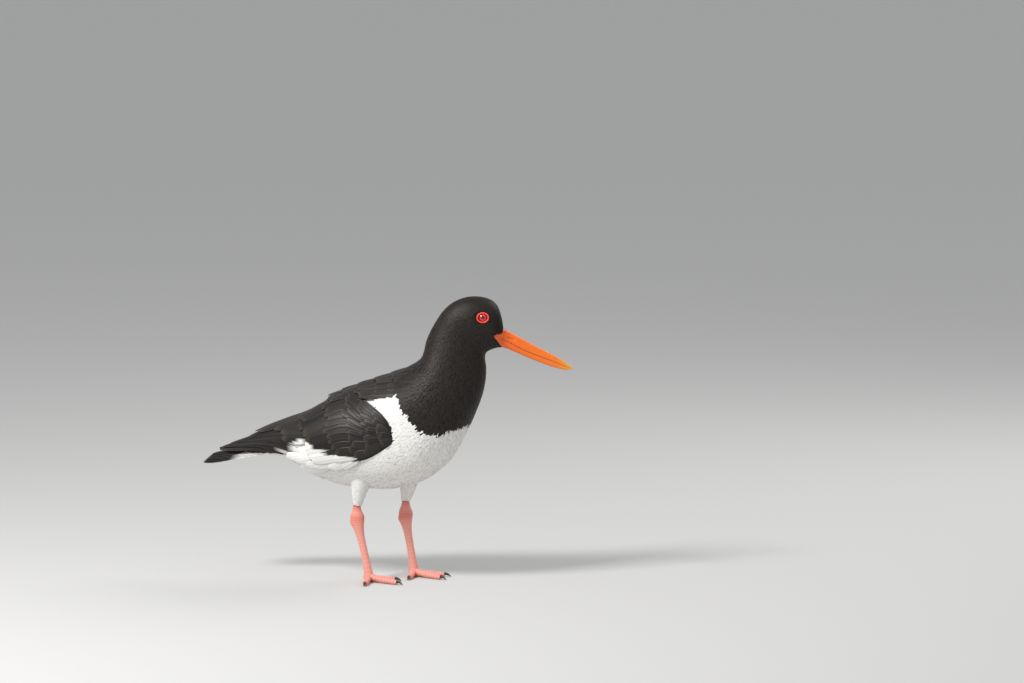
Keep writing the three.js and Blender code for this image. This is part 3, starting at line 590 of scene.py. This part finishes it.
def coatPiece(name, settings):
    # Feathers with roots spread evenly over a stretch of the form. Each tip lies its length away
    # along the form, turned aside by a small random yaw.
    surface = settings["surface"]
    count = settings["count"]
    root = evenRoots(surface, count, settings["from"], settings["around"])
    share = (root[:, 0] - settings["from"][0]) / (settings["from"][1] - settings["from"][0])
    size = 1 + settings["uneven"] * (rng.random(count) * 2 - 1)
    length = np.interp(share, (0, 1), settings["length"]) * size
    half = np.interp(share, (0, 1), settings["half"]) * size
    step = 0.02
    here = surface(root[:, 0], root[:, 1], 0.0)
    perU = np.linalg.norm(surface(root[:, 0] - step, root[:, 1], 0.0) - here, axis=-1) / step
    perV = np.linalg.norm(surface(root[:, 0], root[:, 1] + step, 0.0) - here, axis=-1) / step
    yaw = settings["yaw"] * rng.normal(size=count)
    along = length * np.cos(yaw) / np.maximum(perU, 0.5)
    tip = np.stack([
        root[:, 0] + settings["lie"] * along,
        root[:, 1] + length * np.sin(yaw) / np.maximum(perV, 0.5),
    ], -1)
    far = surface(tip[:, 0], tip[:, 1], 0.0)
    keep = ~(nearEye(here) | nearEye(far) | nearEye((here + far) / 2))
    root, tip, half, here, far = root[keep], tip[keep], half[keep], here[keep], far[keep]
    share, count = share[keep], int(keep.sum())
    lift = np.interp(share, (0, 1), settings["lift"]) * (0.6 + 0.8 * rng.random(count))
    points, triangles, reach, across, normals = vanes(
        surface, root, tip, half, lift, settings["sink"], settings["thick"], smallSection,
        smallOutline,
    )
    # a feather's colour is read where its tip lies, so the parting lines stay in their place
    ragged = rng.normal(size=count) * settings["ragged"]
    white = settings["white"](here * 0.2 + far * 0.8, root[:, 0], ragged)
    tone = np.clip(0.5 + 0.22 * rng.normal(size=count), 0, 1)
    marks = np.stack([
        np.broadcast_to(white[:, None], reach.shape),
        np.clip(tone[:, None] * (0.55 + 0.6 * reach), 0, 1),
        reach,
        np.clip((reach - 0.75) * 4, 0, 1) * settings["edge"],
    ], -1)
    uv = rootMap(root, settings["extent"], reach, across)
    piece = addMesh(
        name, points.reshape(-1, 3), triangles, softPlumage, uv.reshape(-1, 2),
        marks.reshape(-1, 4), normals.reshape(-1, 3), settings["soft"],
    )


coatSettings = {
    "coat_face": {
        "count": 8200, "from": (16.4, 19.98), "length": (3.0, 1.4), "half": (0.55, 0.4),
        "lift": (0.3, 0.15), "sink": 0.6, "thick": 0.08, "soft": 0.82, "slot": "hood_plumage",
    },
    "coat_crown": {
        "count": 8200, "from": (12.4, 16.6), "length": (5.0, 3.2), "half": (0.8, 0.6),
        "lift": (0.45, 0.3), "sink": 0.7, "thick": 0.1, "soft": 0.82, "slot": "hood_plumage",
    },
    "coat_nape": {
        "count": 8200, "from": (9.2, 12.6), "length": (7.4, 5.0), "half": (1.1, 0.85),
        "lift": (0.7, 0.45), "sink": 0.9, "thick": 0.12, "soft": 0.82, "slot": "hood_plumage",
    },
    "coat_breast": {
        "count": 8200, "from": (6.4, 9.4), "length": (9.6, 7.4), "half": (1.5, 1.15),
        "lift": (0.9, 0.7), "soft": 0.82, "slot": "hood_plumage",
    },
    "coat_shoulder": {
        "count": 8200, "from": (4.9, 6.6), "around": (0.07, 0.93), "length": (11, 9.6),
        "half": (1.5, 1.5), "lift": (1.0, 0.9), "soft": 0.88, "slot": "belly_plumage",
    },
    "coat_flank": {
        "count": 8200, "from": (3.1, 5.0), "around": (0.19, 0.81), "length": (12, 11),
        "half": (1.5, 1.5), "lift": (1.0, 1.0), "soft": 0.9, "slot": "belly_plumage",
    },
    "coat_belly": {
        "count": 7800, "from": (1.2, 3.3), "around": (0.16, 0.84), "length": (12, 12),
        "half": (1.4, 1.5), "lift": (0.9, 1.0), "soft": 0.9, "slot": "belly_plumage",
    },
    "coat_vent": {
        "count": 2400, "from": (0.2, 1.4), "around": (0.17, 0.83), "length": (10, 12),
        "half": (1.4, 1.5), "lift": (0.8, 0.9), "soft": 0.9, "slot": "belly_plumage",
    },
}
for name, settings in coatSettings.items():
    coatPiece(name, {**coatDefaults, **settings})
for leg in legTable:
    coatPiece("coat_thigh_" + leg["side"], {
        **coatDefaults, "surface": limbSurface(leg["thigh"], thighRadii), "extent": (1, 1),
        "count": 1500, "from": (0.05, 0.97), "length": (8.5, 5), "half": (1.2, 0.8),
        "lift": (0.8, 0.5), "sink": 0.9, "lie": 1, "soft": 0.9, "slot": "thigh_plumage",
        "white": lambda points, station, ragged: np.ones(len(points)),
    })
print("coat done")


# Wings: a dark core under tiers of vanes.
# A tier's first and last feather: roots and tips as (station, share up), half width and lift.
wingTiers = [
    {"on": "wing", "count": 7, "root": ((3.5, 0.07), (4.3, 0.05)),
     "tip": ((5.05, -0.2), (5.5, -0.1)),
     "half": (2.6, 2.8), "lift": (0.6, 1.6), "outline": pointOutline},
    {"on": "wing", "count": 9, "root": ((2.0, 0.1), (4.6, 0.12)),
     "tip": ((3.4, -0.02), (6.35, 0.02)),
     "half": (4.8, 5.8), "lift": (1.0, 1.5), "outline": roundOutline},
    {"on": "wing", "count": 7, "root": ((5.0, 0.08), (5.2, 0.74)),
     "tip": ((9.97, 0.62), (7.4, 0.76)),
     "half": (5.4, 7), "lift": (0.9, 2.3), "outline": pointOutline},
    {"on": "wing", "count": 5, "root": ((3.8, 0.45), (4.0, 0.9)),
     "tip": ((6.2, 0.38), (7.75, 0.88)),
     "half": (7.6, 8.4), "lift": (2.1, 2.6), "outline": roundOutline},
    {"on": "wing", "count": 13, "root": ((2.8, 0.12), (3.4, 0.86)),
     "tip": ((4.7, 0.08), (5.35, 0.76)),
     "half": (4.5, 5.1), "lift": (2.0, 2.8), "outline": roundOutline},
    {"on": "wing", "count": 13, "root": ((2.0, 0.1), (2.5, 0.88)),
     "tip": ((3.6, 0.1), (4.1, 0.84)),
     "half": (4.3, 4.8), "lift": (1.9, 2.4), "outline": roundOutline},
    {"on": "wing", "count": 13, "root": ((1.35, 0.1), (1.75, 0.88)),
     "tip": ((2.75, 0.12), (3.1, 0.86)),
     "half": (3.9, 4.3), "lift": (1.7, 2.1), "outline": roundOutline},
    {"on": "wing", "count": 12, "root": ((0.85, 0.12), (1.15, 0.86)),
     "tip": ((2.05, 0.14), (2.3, 0.86)),
     "half": (3.5, 3.8), "lift": (1.5, 1.8), "outline": roundOutline},
    {"on": "wing", "count": 11, "root": ((0.35, 0.15), (0.6, 0.85)),
     "tip": ((1.35, 0.16), (1.5, 0.86)),
     "half": (3.0, 3.3), "lift": (1.2, 1.5), "outline": roundOutline},
    {"on": "scapular", "count": 8, "root": ((2.5, 0.06), (2.6, 0.93)),
     "tip": ((3.95, 0.08), (4.0, 0.92)),
     "half": (4.6, 5.0), "lift": (1.2, 1.5), "outline": pointOutline},
    {"on": "scapular", "count": 8, "root": ((1.8, 0.06), (1.9, 0.93)),
     "tip": ((3.2, 0.08), (3.3, 0.92)),
     "half": (4.6, 5.0), "lift": (1.4, 1.8), "outline": roundOutline},
    {"on": "scapular", "count": 8, "root": ((1.1, 0.06), (1.15, 0.93)),
     "tip": ((2.4, 0.06), (2.45, 0.92)),
     "half": (4.4, 4.8), "lift": (1.5, 1.9), "outline": roundOutline},
    {"on": "scapular", "count": 8, "root": ((0.45, 0.05), (0.5, 0.94)),
     "tip": ((1.65, 0.05), (1.7, 0.93)),
     "half": (4.2, 4.6), "lift": (1.5, 1.8), "outline": roundOutline},
    {"on": "scapular", "count": 8, "root": ((-0.1, 0.05), (-0.1, 0.95)),
     "tip": ((1.0, 0.04), (1.0, 0.94)),
     "half": (3.8, 4.2), "lift": (1.2, 1.5), "outline": roundOutline},
]


def spread(pair, share):
    # The first value plus a share of the step to the second, for numbers or (u, v) places.
    first, second = np.asarray(pair[0], float), np.asarray(pair[1], float)
    return first + (second - first) * (share[..., None] if first.ndim else share)


def wingMarks(points, along, across, tone, ragged, white):
    # White below the panel's line, pale rims on the black vanes.
    rim = np.clip((np.abs(across) - 0.7) * 3, 0, 1) * 0.6 + np.clip((along - 0.88) * 8, 0, 1)
    panel = whiteBelow(points, panelLine, ragged[:, None]) if white else np.zeros(along.shape)
    shade = tone[:, None] * (0.6 + 0.5 * along)
    return np.stack([panel, shade, along, np.clip(rim, 0, 1) * 0.55], -1)


wingSettings = {
    "core": 5.0, "under": 0.4, "uneven": 0.06, "longest": 1.03, "slip": 0.09, "tone": (0.55, 0.25),
    "ragged": 1.8, "clear": 0.1, "sink": 0.7, "thick": 0.3, "soft": 0.35,
}


def wingPiece(name, side):
    # A thick core under the arch, its inner side sunk towards the body, then every tier's vanes.
    surfaces = {
        "wing": archSurface(wingTable, side),
        "scapular": archSurface(scapularTable, side),
    }
    extents = {"wing": (10, 1), "scapular": (4, 1)}
    parts = []
    for key, (last, _) in extents.items():
        def core(along, around, surface=surfaces[key], last=last):
            # out along the arch from its lower to its upper edge, and back under it
            turn = around * 2 * np.pi
            depth = wingSettings["core"] * (1 - 0.6 * along)
            sunk = -wingSettings["under"] + depth * np.minimum(np.sin(turn), 0)
            return surface(along * last, 0.5 - 0.49 * np.cos(turn), sunk)
        points, triangles, coordinates = tube(core, 60, 48)
        marks = wingMarks(
            points[None], coordinates[None, :, 0], np.zeros((1, len(points))), np.array([0.4]),
            np.array([0.0]), key == "wing",
        )[0]
        middle = np.full(len(points), 0.5)
        normals = surfaceNormal(surfaces[key], coordinates[:, 0] * last, middle)
        triangles = flipInward(points, triangles)
        parts.append((points, triangles, coordinates * 0.9 + 0.03, marks, normals))
    for tier in wingTiers:
        share = np.linspace(0, 1, tier["count"])
        wobble = 1 + wingSettings["uneven"] * (rng.random(tier["count"]) * 2 - 1)
        root, tip = spread(tier["root"], share), spread(tier["tip"], share)
        tip = root + (tip - root) * np.minimum(wobble, wingSettings["longest"])[:, None]
        # every feather but the tier's last slips a little along the wing
        slip = wingSettings["slip"] * rng.normal(size=tier["count"]) * (share < 0.97)
        root, tip = root + slip[:, None] * [1, 0], tip + slip[:, None] * [1, 0]
        tip[:, 0] = np.minimum(tip[:, 0], extents[tier["on"]][0])
        points, triangles, along, across, normals = vanes(
            surfaces[tier["on"]], root, tip, spread(tier["half"], share) * wobble,
            spread(tier["lift"], share) + wingSettings["clear"], wingSettings["sink"],
            wingSettings["thick"], bladeSection, tier["outline"],
        )
        middleTone, toneSpread = wingSettings["tone"]
        tone = np.clip(middleTone + toneSpread * rng.normal(size=tier["count"]), 0, 1)
        ragged = wingSettings["ragged"] * rng.normal(size=tier["count"])
        marks = wingMarks(points, along, across, tone, ragged, tier["on"] == "wing")
        uv = rootMap(np.clip(root, 0, None), extents[tier["on"]], along, across)
        flat = points.reshape(-1, 3)
        parts.append((
            flat, flipInward(flat, triangles), uv.reshape(-1, 2), marks.reshape(-1, 4),
            normals.reshape(-1, 3),
        ))
    points, triangles, uv, marks, normals = joined(parts)
    piece = addMesh(name, points, triangles, firmPlumage, uv, marks, normals, wingSettings["soft"])
    return piece


for word, side in (("left", 1), ("right", -1)):
    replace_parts(wingPiece("wing_vanes_" + word, side), "wing_" + word)
print("wings done")

# Tail: a core of coverts and six pairs of long vanes, white with a black end band.
# The core of coverts: x, top z, bottom z and half width.
tailTable = np.array([
    [-98, 144.6, 112.4, 14.8],
    [-110, 139, 114.5, 16.2],
    [-122, 132.5, 115.2, 17],
    [-136, 126.5, 114.6, 16.4],
    [-150, 121.6, 114, 13],
])
tailSettings = {
    "pairs": 6, "root": -112.0, "tip": -185.0, "outerTip": -189.2, "half": 8.2, "spread": 12.4,
    "gather": 6.5, "drop": 0.55, "slope": 0.125, "line": 116.6, "droop": 4.2, "droopAt": 19.0,
    "rise": 2.4, "riseHalf": 12.0, "riseRun": 7.0, "sunk": 0.8, "whiteUnder": 121, "inner": 1.5,
    "right": 0.45, "thick": 0.45,
}


def tailSurface(x, y, lift):
    # A shallow roof: a sloping line whose sides droop and whose middle stands up before the tip.
    s = tailSettings
    run = np.clip((x - s["root"]) / (s["tip"] - s["root"]), 0, 1.1)
    inner = np.maximum(0, 1 - (y / s["riseHalf"]) ** 2)
    crown = s["rise"] * inner * (1 - np.exp(-np.maximum(x - s["tip"], 0) / s["riseRun"]))
    z = s["line"] + s["slope"] * (x - s["tip"]) + crown - s["droop"] * (y / s["droopAt"]) ** 2 * run
    return np.stack(np.broadcast_arrays(x, y, z + lift), -1)


def tailCore(along, around):
    # A rounded box section carried down the table's rows, sunk under the vanes and coverts.
    row = throughRows(tailTable, along * 4)
    angle = around * 2 * np.pi
    middle, reach = (row[:, 1] + row[:, 2]) / 2, (row[:, 1] - row[:, 2]) / 2
    sunk = tailSettings["sunk"]
    y = (row[:, 3] - sunk) * signedPower(np.sin(angle), 0.9)
    z = middle + (reach - sunk) * signedPower(np.cos(angle), 0.9)
    return np.stack([row[:, 0], y, z], -1)


def bandBlack(points, ragged):
    # The black end band starts further forward towards the tail's middle.
    edge = -136 - 25 * np.clip(np.abs(points[..., 1]) / 18, 0, 1) + ragged
    return (points[..., 0] < edge).astype(float)


corePoints, coreTriangles, coreMap = tube(tailCore, 24, 40)
coreMarks = np.tile([1.0, 0.5, 0, 0], (len(corePoints), 1))
coreMarks[:, 0] = corePoints[:, 2] < tailSettings["whiteUnder"]
tailParts = [(corePoints, flipInward(corePoints, coreTriangles), coreMap * 0.9 + 0.03, coreMarks)]
for side in (1, -1):
    rank = np.arange(tailSettings["pairs"])
    share = rank / (tailSettings["pairs"] - 1)
    tipX = tailSettings["tip"] + (tailSettings["outerTip"] - tailSettings["tip"]) * share
    rootY = side * (tailSettings["inner"] + share * tailSettings["gather"])
    tipY = side * (tailSettings["inner"] + share * tailSettings["spread"])
    root = np.stack([np.full(len(rank), tailSettings["root"]), rootY], -1)
    tip = np.stack([tipX, tipY], -1)
    # each pair lies under the one inside it, and the right vane under the left
    level = -tailSettings["drop"] * rank - (0 if side > 0 else tailSettings["right"])
    points, triangles, along, across, _ = vanes(
        tailSurface, root, tip, tailSettings["half"], level, -level, tailSettings["thick"],
        bladeSection, tailOutline,
    )
    black = bandBlack(points, rng.normal(size=(len(rank), 1)) * 1.5)
    tone = np.clip(0.5 + 0.2 * rng.normal(size=(len(rank), 1)), 0, 1) * np.ones(along.shape)
    rim = np.clip((along - 0.94) * 12, 0, 1) * 0.4
    marks = np.stack([1 - black, tone, along, rim], -1)
    uv = rootMap(root - [-190, -20], (90, 40), along, across)
    flat = points.reshape(-1, 3)
    tailParts.append((flat, flipInward(flat, triangles), uv.reshape(-1, 2), marks.reshape(-1, 4)))
points, triangles, uv, marks = joined(tailParts)
tail = addMesh("tail_vanes", points, triangles, firmPlumage, uv, marks)
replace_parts(tail, "tail")
print("tail done")

# Bill: two blades parting along the mouth, orange running to a yellower tip.
# In the head before its turn: x, top, mouth and bottom z, and half width.
billTable = np.array([
    [97, 243.4, 240.8, 238.4, 14.9],
    [100.5, 245.9, 239.3, 234, 12.9],
    [104, 247.3, 237.5, 229.8, 9.4],
    [107.2, 245.8, 235.6, 227.6, 6.3],
    [111, 243.8, 233.5, 226.2, 5.4],
    [115, 241.6, 231.4, 224.6, 5.0],
    [123, 237.2, 227, 221, 4.4],
    [132, 232.2, 222.7, 217.1, 3.8],
    [142.6, 226.6, 218.8, 212.9, 3.2],
    [154, 220.6, 214.4, 208.8, 2.5],
    [164, 214.8, 210.2, 206.2, 1.8],
    [170, 210.8, 208, 205.7, 1.2],
    [173.5, 208, 207, 206.2, 0.7],
])


def rampMaterial(name, roughness, stops, **sockets):
    # A colour read from the first mark through a ramp, with a fine uneven surface.
    made, tree, shader = material(name, roughness, **sockets)
    marks = tree.nodes.new("ShaderNodeAttribute")
    marks.attribute_name = "marks"
    parts = tree.nodes.new("ShaderNodeSeparateColor")
    tree.links.new(marks.outputs["Color"], parts.inputs["Color"])
    ramp = tree.nodes.new("ShaderNodeValToRGB")
    elements = ramp.color_ramp.elements
    elements[0].position, elements[0].color = stops[0][0], (*stops[0][1], 1)
    elements[1].position, elements[1].color = stops[-1][0], (*stops[-1][1], 1)
    for position, colour in stops[1:-1]:
        elements.new(position).color = (*colour, 1)
    tree.links.new(parts.outputs["Red"], ramp.inputs["Fac"])
    tree.links.new(ramp.outputs["Color"], shader.inputs["Base Color"])
    coordinates = tree.nodes.new("ShaderNodeTexCoord")
    noise = tree.nodes.new("ShaderNodeTexNoise")
    noise.inputs["Scale"].default_value = 900
    tree.links.new(coordinates.outputs["Object"], noise.inputs["Vector"])
    bump = tree.nodes.new("ShaderNodeBump")
    bump.inputs["Strength"].default_value = 0.12
    bump.inputs["Distance"].default_value = 0.0003
    tree.links.new(noise.outputs["Fac"], bump.inputs["Height"])
    tree.links.new(bump.outputs["Normal"], shader.inputs["Normal"])
    return made


billHorn = rampMaterial("billHorn", 0.36, [
    (0.0, (0.82, 0.105, 0.006)),
    (0.45, (0.88, 0.145, 0.006)),
    (0.78, (0.88, 0.19, 0.008)),
    (0.93, (0.84, 0.36, 0.03)),
    (1.0, (0.66, 0.42, 0.09)),
], Coat_Weight=0.15, Coat_Roughness=0.3)


billSettings = {
    "rings": 120, "sides": 64, "parting": 0.15,
    "nostril": {"x": 114.6, "z": 236.2, "slope": 21, "half": (4.0, 0.85), "depth": 0.35},
}


def billHalf(isUpper):
    # One blade: an arch from the mouth line out to the top or the bottom edge.
    def blade(along, around):
        row = throughRows(billTable, along * (len(billTable) - 1))
        mouth = row[:, 2] + billSettings["parting"] * (1 if isUpper else -1)
        far = row[:, 1] if isUpper else row[:, 3]
        turn = around * 2 * np.pi
        arch = np.maximum(0, np.sin(turn)) ** 0.75
        wide = signedPower(np.cos(turn), 0.6)
        z = mouth + (far - mouth) * arch
        y = row[:, 4] * wide
        # the nostril: a slit pressed into each side of the upper blade
        if isUpper:
            slit = billSettings["nostril"]
            dx, dz = row[:, 0] - slit["x"], z - slit["z"]
            slope = math.radians(slit["slope"])
            u = dx * math.cos(slope) - dz * math.sin(slope)
            v = dx * math.sin(slope) + dz * math.cos(slope)
            long, high = slit["half"]
            y = y * (1 - slit["depth"] * np.exp(-((u / long) ** 4) - (v / high) ** 2))
        return turnWithNeck(np.stack([row[:, 0], y, z], -1), 1.0)

    points, triangles, coordinates = tube(blade, billSettings["rings"], billSettings["sides"])
    marks = np.zeros((len(points), 4))
    marks[:, 0] = coordinates[:, 0]
    name = "bill_upper" if isUpper else "bill_lower"
    uv = wholeMap(coordinates)
    piece = addMesh(name + "_horn", points, triangles, billHorn, uv, marks)
    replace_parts(piece, name)


billHalf(True)
billHalf(False)

# Eyes: a red iris round a black pupil under a wet cornea, in a bare orange-red ring.
irisColour = rampMaterial("irisColour", 0.12, [
    (0.0, (0.002, 0.002, 0.002)),
    (0.30, (0.002, 0.002, 0.002)),
    (0.35, (0.50, 0.008, 0.020)),
    (0.60, (0.78, 0.016, 0.036)),
    (0.82, (0.62, 0.010, 0.024)),
    (0.93, (0.10, 0.004, 0.006)),
    (1.0, (0.03, 0.004, 0.004)),
], Coat_Weight=1.0, Coat_Roughness=0.03)
ringSkin = rampMaterial("ringSkin", 0.45, [(0.0, (0.82, 0.085, 0.04)), (1.0, (0.74, 0.07, 0.04))])


for word, side in (("left", 1), ("right", -1)):
    def ball(along, around, side=side):
        # a ball: along runs from the pupil to the back of the eye, around circles the pupil
        polar, turn = along * np.pi, around * 2 * np.pi
        radius = eyeSettings["ball"]
        x = eyeSettings["x"] + radius * np.sin(polar) * np.cos(turn)
        y = side * (eyeSettings["ballSide"] + radius * np.cos(polar))
        z = eyeSettings["z"] + radius * np.sin(polar) * np.sin(turn)
        return turnWithNeck(np.stack([x, y, z], -1), 1.0)

    points, triangles, coordinates = tube(ball, 90, 64)
    marks = np.zeros((len(points), 4))
    # the iris ramp is read by the distance from the pupil's middle, and by 1 behind the eye
    behind = coordinates[:, 0] >= 0.5
    marks[:, 0] = np.clip(np.sin(coordinates[:, 0] * np.pi) * ~behind + behind, 0, 1)
    uv = wholeMap(coordinates)
    eye = addMesh("eyeball_" + word, points, triangles, irisColour, uv, marks)
    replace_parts(eye, "eye_" + word)

    def lid(along, around, side=side):
        # an oval ring: a beaded tube carried round the eye, its front end turned in by the yaw
        turn, roll = along * 2 * np.pi, around * 2 * np.pi
        (long, high), (tubeOut, tubeSide) = eyeSettings["ring"], eyeSettings["tube"]
        beads = 1 + eyeSettings["beading"] * np.sin(turn * eyeSettings["beads"])
        out = tubeOut * np.cos(roll) * beads
        x, z = (long + out) * np.cos(turn), (high + out) * np.sin(turn)
        y = tubeSide * np.sin(roll)
        yaw = math.radians(eyeSettings["yaw"])
        turnedX = x * math.cos(yaw) + y * math.sin(yaw)
        turnedY = y * math.cos(yaw) - x * math.sin(yaw)
        middle = [eyeSettings["x"], side * eyeSettings["ringSide"], eyeSettings["z"]]
        return turnWithNeck(np.stack([turnedX, turnedY, z], -1) * [1, side, 1] + middle, 1.0)

    points, triangles, coordinates = tube(lid, 73, 14)
    marks = np.zeros((len(points), 4))
    marks[:, 0] = coordinates[:, 1]
    uv = wholeMap(coordinates)
    ring = addMesh("orbital_ring_" + word, points, triangles, ringSkin, uv, marks)
    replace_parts(ring, "eye_ring_" + word)
print("head done")

# Legs: scaled pink shanks and feet, dark claws.
legSkin = rampMaterial("legSkin", 0.48, [
    # the darkest stop colours the painted shade at the top of each shank
    (0.0, (0.50, 0.10, 0.07)),
    (0.40, (0.74, 0.235, 0.18)),
    (1.0, (0.82, 0.36, 0.29)),
])
clawHorn, _, clawShader = material("clawHorn", 0.4)
clawShader.inputs["Base Color"].default_value = (0.035, 0.025, 0.022, 1)
shankRadii = [
    [2.6, 2.6], [3.2, 3], [4.2, 3.7], [6.2, 4.9], [6.6, 5.2], [5.4, 4.6],
    [4.2, 3.5], [3.7, 3], [3.6, 2.9], [3.8, 3.1], [4.6, 3.8],
]
toeRadii = [[3.9, 3.6], [3.2, 3.3], [2.6, 3.1], [2.9, 3], [2.3, 2.7], [2.5, 2.6], [1.9, 2.1]]
toeReach = {"inner": 25, "middle": 35, "outer": 30}
legSettings = {
    "shankRings": 210, "shankSides": 32, "shankPlates": 26, "toeRings": 110, "toeSides": 24,
    "toePlates": 11, "plateHeight": 0.22, "padRadii": (5.4, 5.2, 5.4), "padSides": 24,
    "clear": 0.02, "frontKnob": 1.0, "rearKnob": 0.5,
}


def scutes(along, around, count, height):
    # Rows of low overlapping plates down the front, each highest at its lower edge.
    front = smoothStep(np.cos(around * 2 * np.pi), -0.2, 0.5)
    return height * front * ((along * count) % 1.0) ** 2


def knob(along, around):
    # The joint's swelling: a low bump on its front under the bend and one on its back above.
    facing = np.cos(around * 2 * np.pi)
    front = np.exp(-(((along - 0.43) / 0.05) ** 2)) * np.maximum(0, facing) ** 2
    rear = np.exp(-(((along - 0.33) / 0.06) ** 2)) * np.maximum(0, -facing) ** 2
    return legSettings["frontKnob"] * front + legSettings["rearKnob"] * rear


def floorFlat(points):
    # Nothing reaches under the floor: what would is pressed flat on it.
    points = points.copy()
    points[..., 2] = np.maximum(points[..., 2], legSettings["clear"])
    return points


for leg in legTable:
    side = leg["side"]
    shank = limbSurface(leg["shank"], shankRadii)
    plates, plateHeight = legSettings["shankPlates"], legSettings["plateHeight"]
    points, triangles, coordinates = tube(
        lambda a, b: shank(a, b, scutes(a, b, plates, plateHeight) + knob(a, b)),
        legSettings["shankRings"],
        legSettings["shankSides"],
    )
    marks = np.zeros((len(points), 4))
    ankle = np.exp(-((coordinates[:, 0] - 0.36) / 0.09) ** 2)
    # painted shade: the shank is darkened at its top, under the thigh feathers, and lightens a
    # quarter of the way down
    bare = np.clip(coordinates[:, 0] * 6 - 0.6, 0, 1)
    bands = 0.1 * np.sin(coordinates[:, 0] * 160)
    marks[:, 0] = np.clip(bare * (0.8 - 0.45 * ankle) + bands, 0, 1)
    uv = wholeMap(coordinates)
    piece = addMesh("shank_scales_" + side, points, triangles, legSkin, uv, marks)
    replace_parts(piece, "shank_" + side)
    palm = leg["palm"]
    parts = []

    def pad(along, around, palm=palm):
        # a ball about the palm's middle, whose low part is pressed flat afterwards
        polar, turn = along * np.pi, around * 2 * np.pi
        fore, aside, up = legSettings["padRadii"]
        return np.stack([
            palm[0] + fore * np.sin(polar) * np.cos(turn),
            palm[1] + aside * np.sin(polar) * np.sin(turn),
            palm[2] + up * np.cos(polar),
        ], -1)

    points, triangles, coordinates = tube(pad, legSettings["padSides"], legSettings["padSides"])
    marks = np.tile([0.6, 0, 0, 0], (len(points), 1))
    triangles, uv = flipInward(points, triangles), wholeMap(coordinates)
    parts.append((floorFlat(points), triangles, uv, marks))
    for toe, degrees in leg["toes"].items():
        heading = np.array([math.cos(math.radians(degrees)), math.sin(math.radians(degrees))])
        reach = toeReach[toe]

        def at(distance, z):
            # the place at this distance out from the palm, at height z
            return [palm[0] + distance * heading[0], palm[1] + distance * heading[1], z]

        path = [at(1, 4.6), at(reach * 0.34, 3.4), at(reach * 0.67, 2.7), at(reach, 2.3)]
        limb = limbSurface(path, toeRadii)
        toePlates = legSettings["toePlates"]
        points, triangles, coordinates = tube(
            lambda a, b: limb(a, b, plateHeight * ((a * toePlates) % 1.0) ** 2),
            legSettings["toeRings"],
            legSettings["toeSides"],
        )
        marks = np.zeros((len(points), 4))
        marks[:, 0] = 0.75 + 0.2 * np.sin(coordinates[:, 0] * 60)
        triangles, uv = flipInward(points, triangles), wholeMap(coordinates)
        parts.append((floorFlat(points), triangles, uv, marks))
        claw = limbSurface(
            [at(reach - 1.5, 3), at(reach + 1.5, 3.2), at(reach + 3.9, 2.5), at(reach + 6.5, 0.9)],
            [[1.4, 1.4], [1.4, 1.4], [1, 1], [0.35, 0.35]],
        )
        points, triangles, coordinates = tube(lambda a, b: claw(a, b, 0.0), 20, 16)
        word, uv = toe + "_" + side, wholeMap(coordinates)
        piece = addMesh("claw_horn_" + word, points, triangles, clawHorn, uv)
        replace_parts(piece, "claw_" + word)
    points, triangles, uv, marks = joined(parts)
    piece = addMesh("foot_scales_" + side, points, triangles, legSkin, uv, marks)
    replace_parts(piece, "foot_" + side)
print("legs done")

# Stage, light and camera.
floorMesh = bpy.data.meshes.new("floor")
edge = 90
corners = [(-edge, -edge, 0), (edge, -edge, 0), (edge, edge, 0), (-edge, edge, 0)]
floorMesh.from_pydata(corners, [], [(0, 1, 2, 3)])
floorMaterial, _, floorShader = material("floorMaterial", 0.9)
floorShader.inputs["Base Color"].default_value = (0.58, 0.57, 0.555, 1)
floorMesh.materials.append(floorMaterial)
floor = bpy.data.objects.new("floor", floorMesh)
bpy.context.collection.objects.link(floor)
world = bpy.data.worlds.new("world")
world.use_nodes = True
world.node_tree.nodes["Background"].inputs["Color"].default_value = (0.80, 0.82, 0.84, 1)
world.node_tree.nodes["Background"].inputs["Strength"].default_value = 0.7
bpy.context.scene.world = world


def areaLight(name, place, size, power):
    # A square soft light aimed at the bird's middle.
    data = bpy.data.lights.new(name, "AREA")
    data.size, data.energy = size, power
    lamp = bpy.data.objects.new(name, data)
    target = np.array([0, 0, 0.15])
    away = Vector(np.asarray(place) - target)
    lamp.location = place
    lamp.rotation_euler = away.to_track_quat("Z", "Y").to_euler()
    bpy.context.collection.objects.link(lamp)


areaLight("key", (-0.75, -1.2, 1.5), 0.5, 35)
areaLight("rim", (0.9, 1.1, 1.2), 0.8, 8)

# The photo's view: angles round and above the bird, what the picture spans at the bird in
# millimetres, and how far its middle lies from the bird's origin, to the right and up.
cameraSettings = {
    "azimuth": 14, "elevation": 6, "lens": 200.0, "sensor": 36.0, "span": 993.3,
    "middle": (113.5, 230.4),
}
azimuth = math.radians(cameraSettings["azimuth"])
elevation = math.radians(cameraSettings["elevation"])
right = np.array([math.cos(azimuth), math.sin(azimuth), 0])
back = np.array([
    math.sin(azimuth) * math.cos(elevation),
    -math.cos(azimuth) * math.cos(elevation),
    math.sin(elevation),
])
above = np.cross(back, right)
target = cameraSettings["middle"][0] * right + cameraSettings["middle"][1] * above
distance = cameraSettings["lens"] * cameraSettings["span"] / cameraSettings["sensor"]
cameraData = bpy.data.cameras.new("camera")
cameraData.lens, cameraData.sensor_width = cameraSettings["lens"], cameraSettings["sensor"]
cameraData.clip_start, cameraData.clip_end = 0.05, 60
camera = bpy.data.objects.new("camera", cameraData)
camera.location = toScene(target + back * distance)
camera.rotation_euler = Vector(back).to_track_quat("Z", "Y").to_euler()
bpy.context.collection.objects.link(camera)
bpy.context.scene.camera = camera
bpy.context.scene.view_settings.view_transform = "Standard"
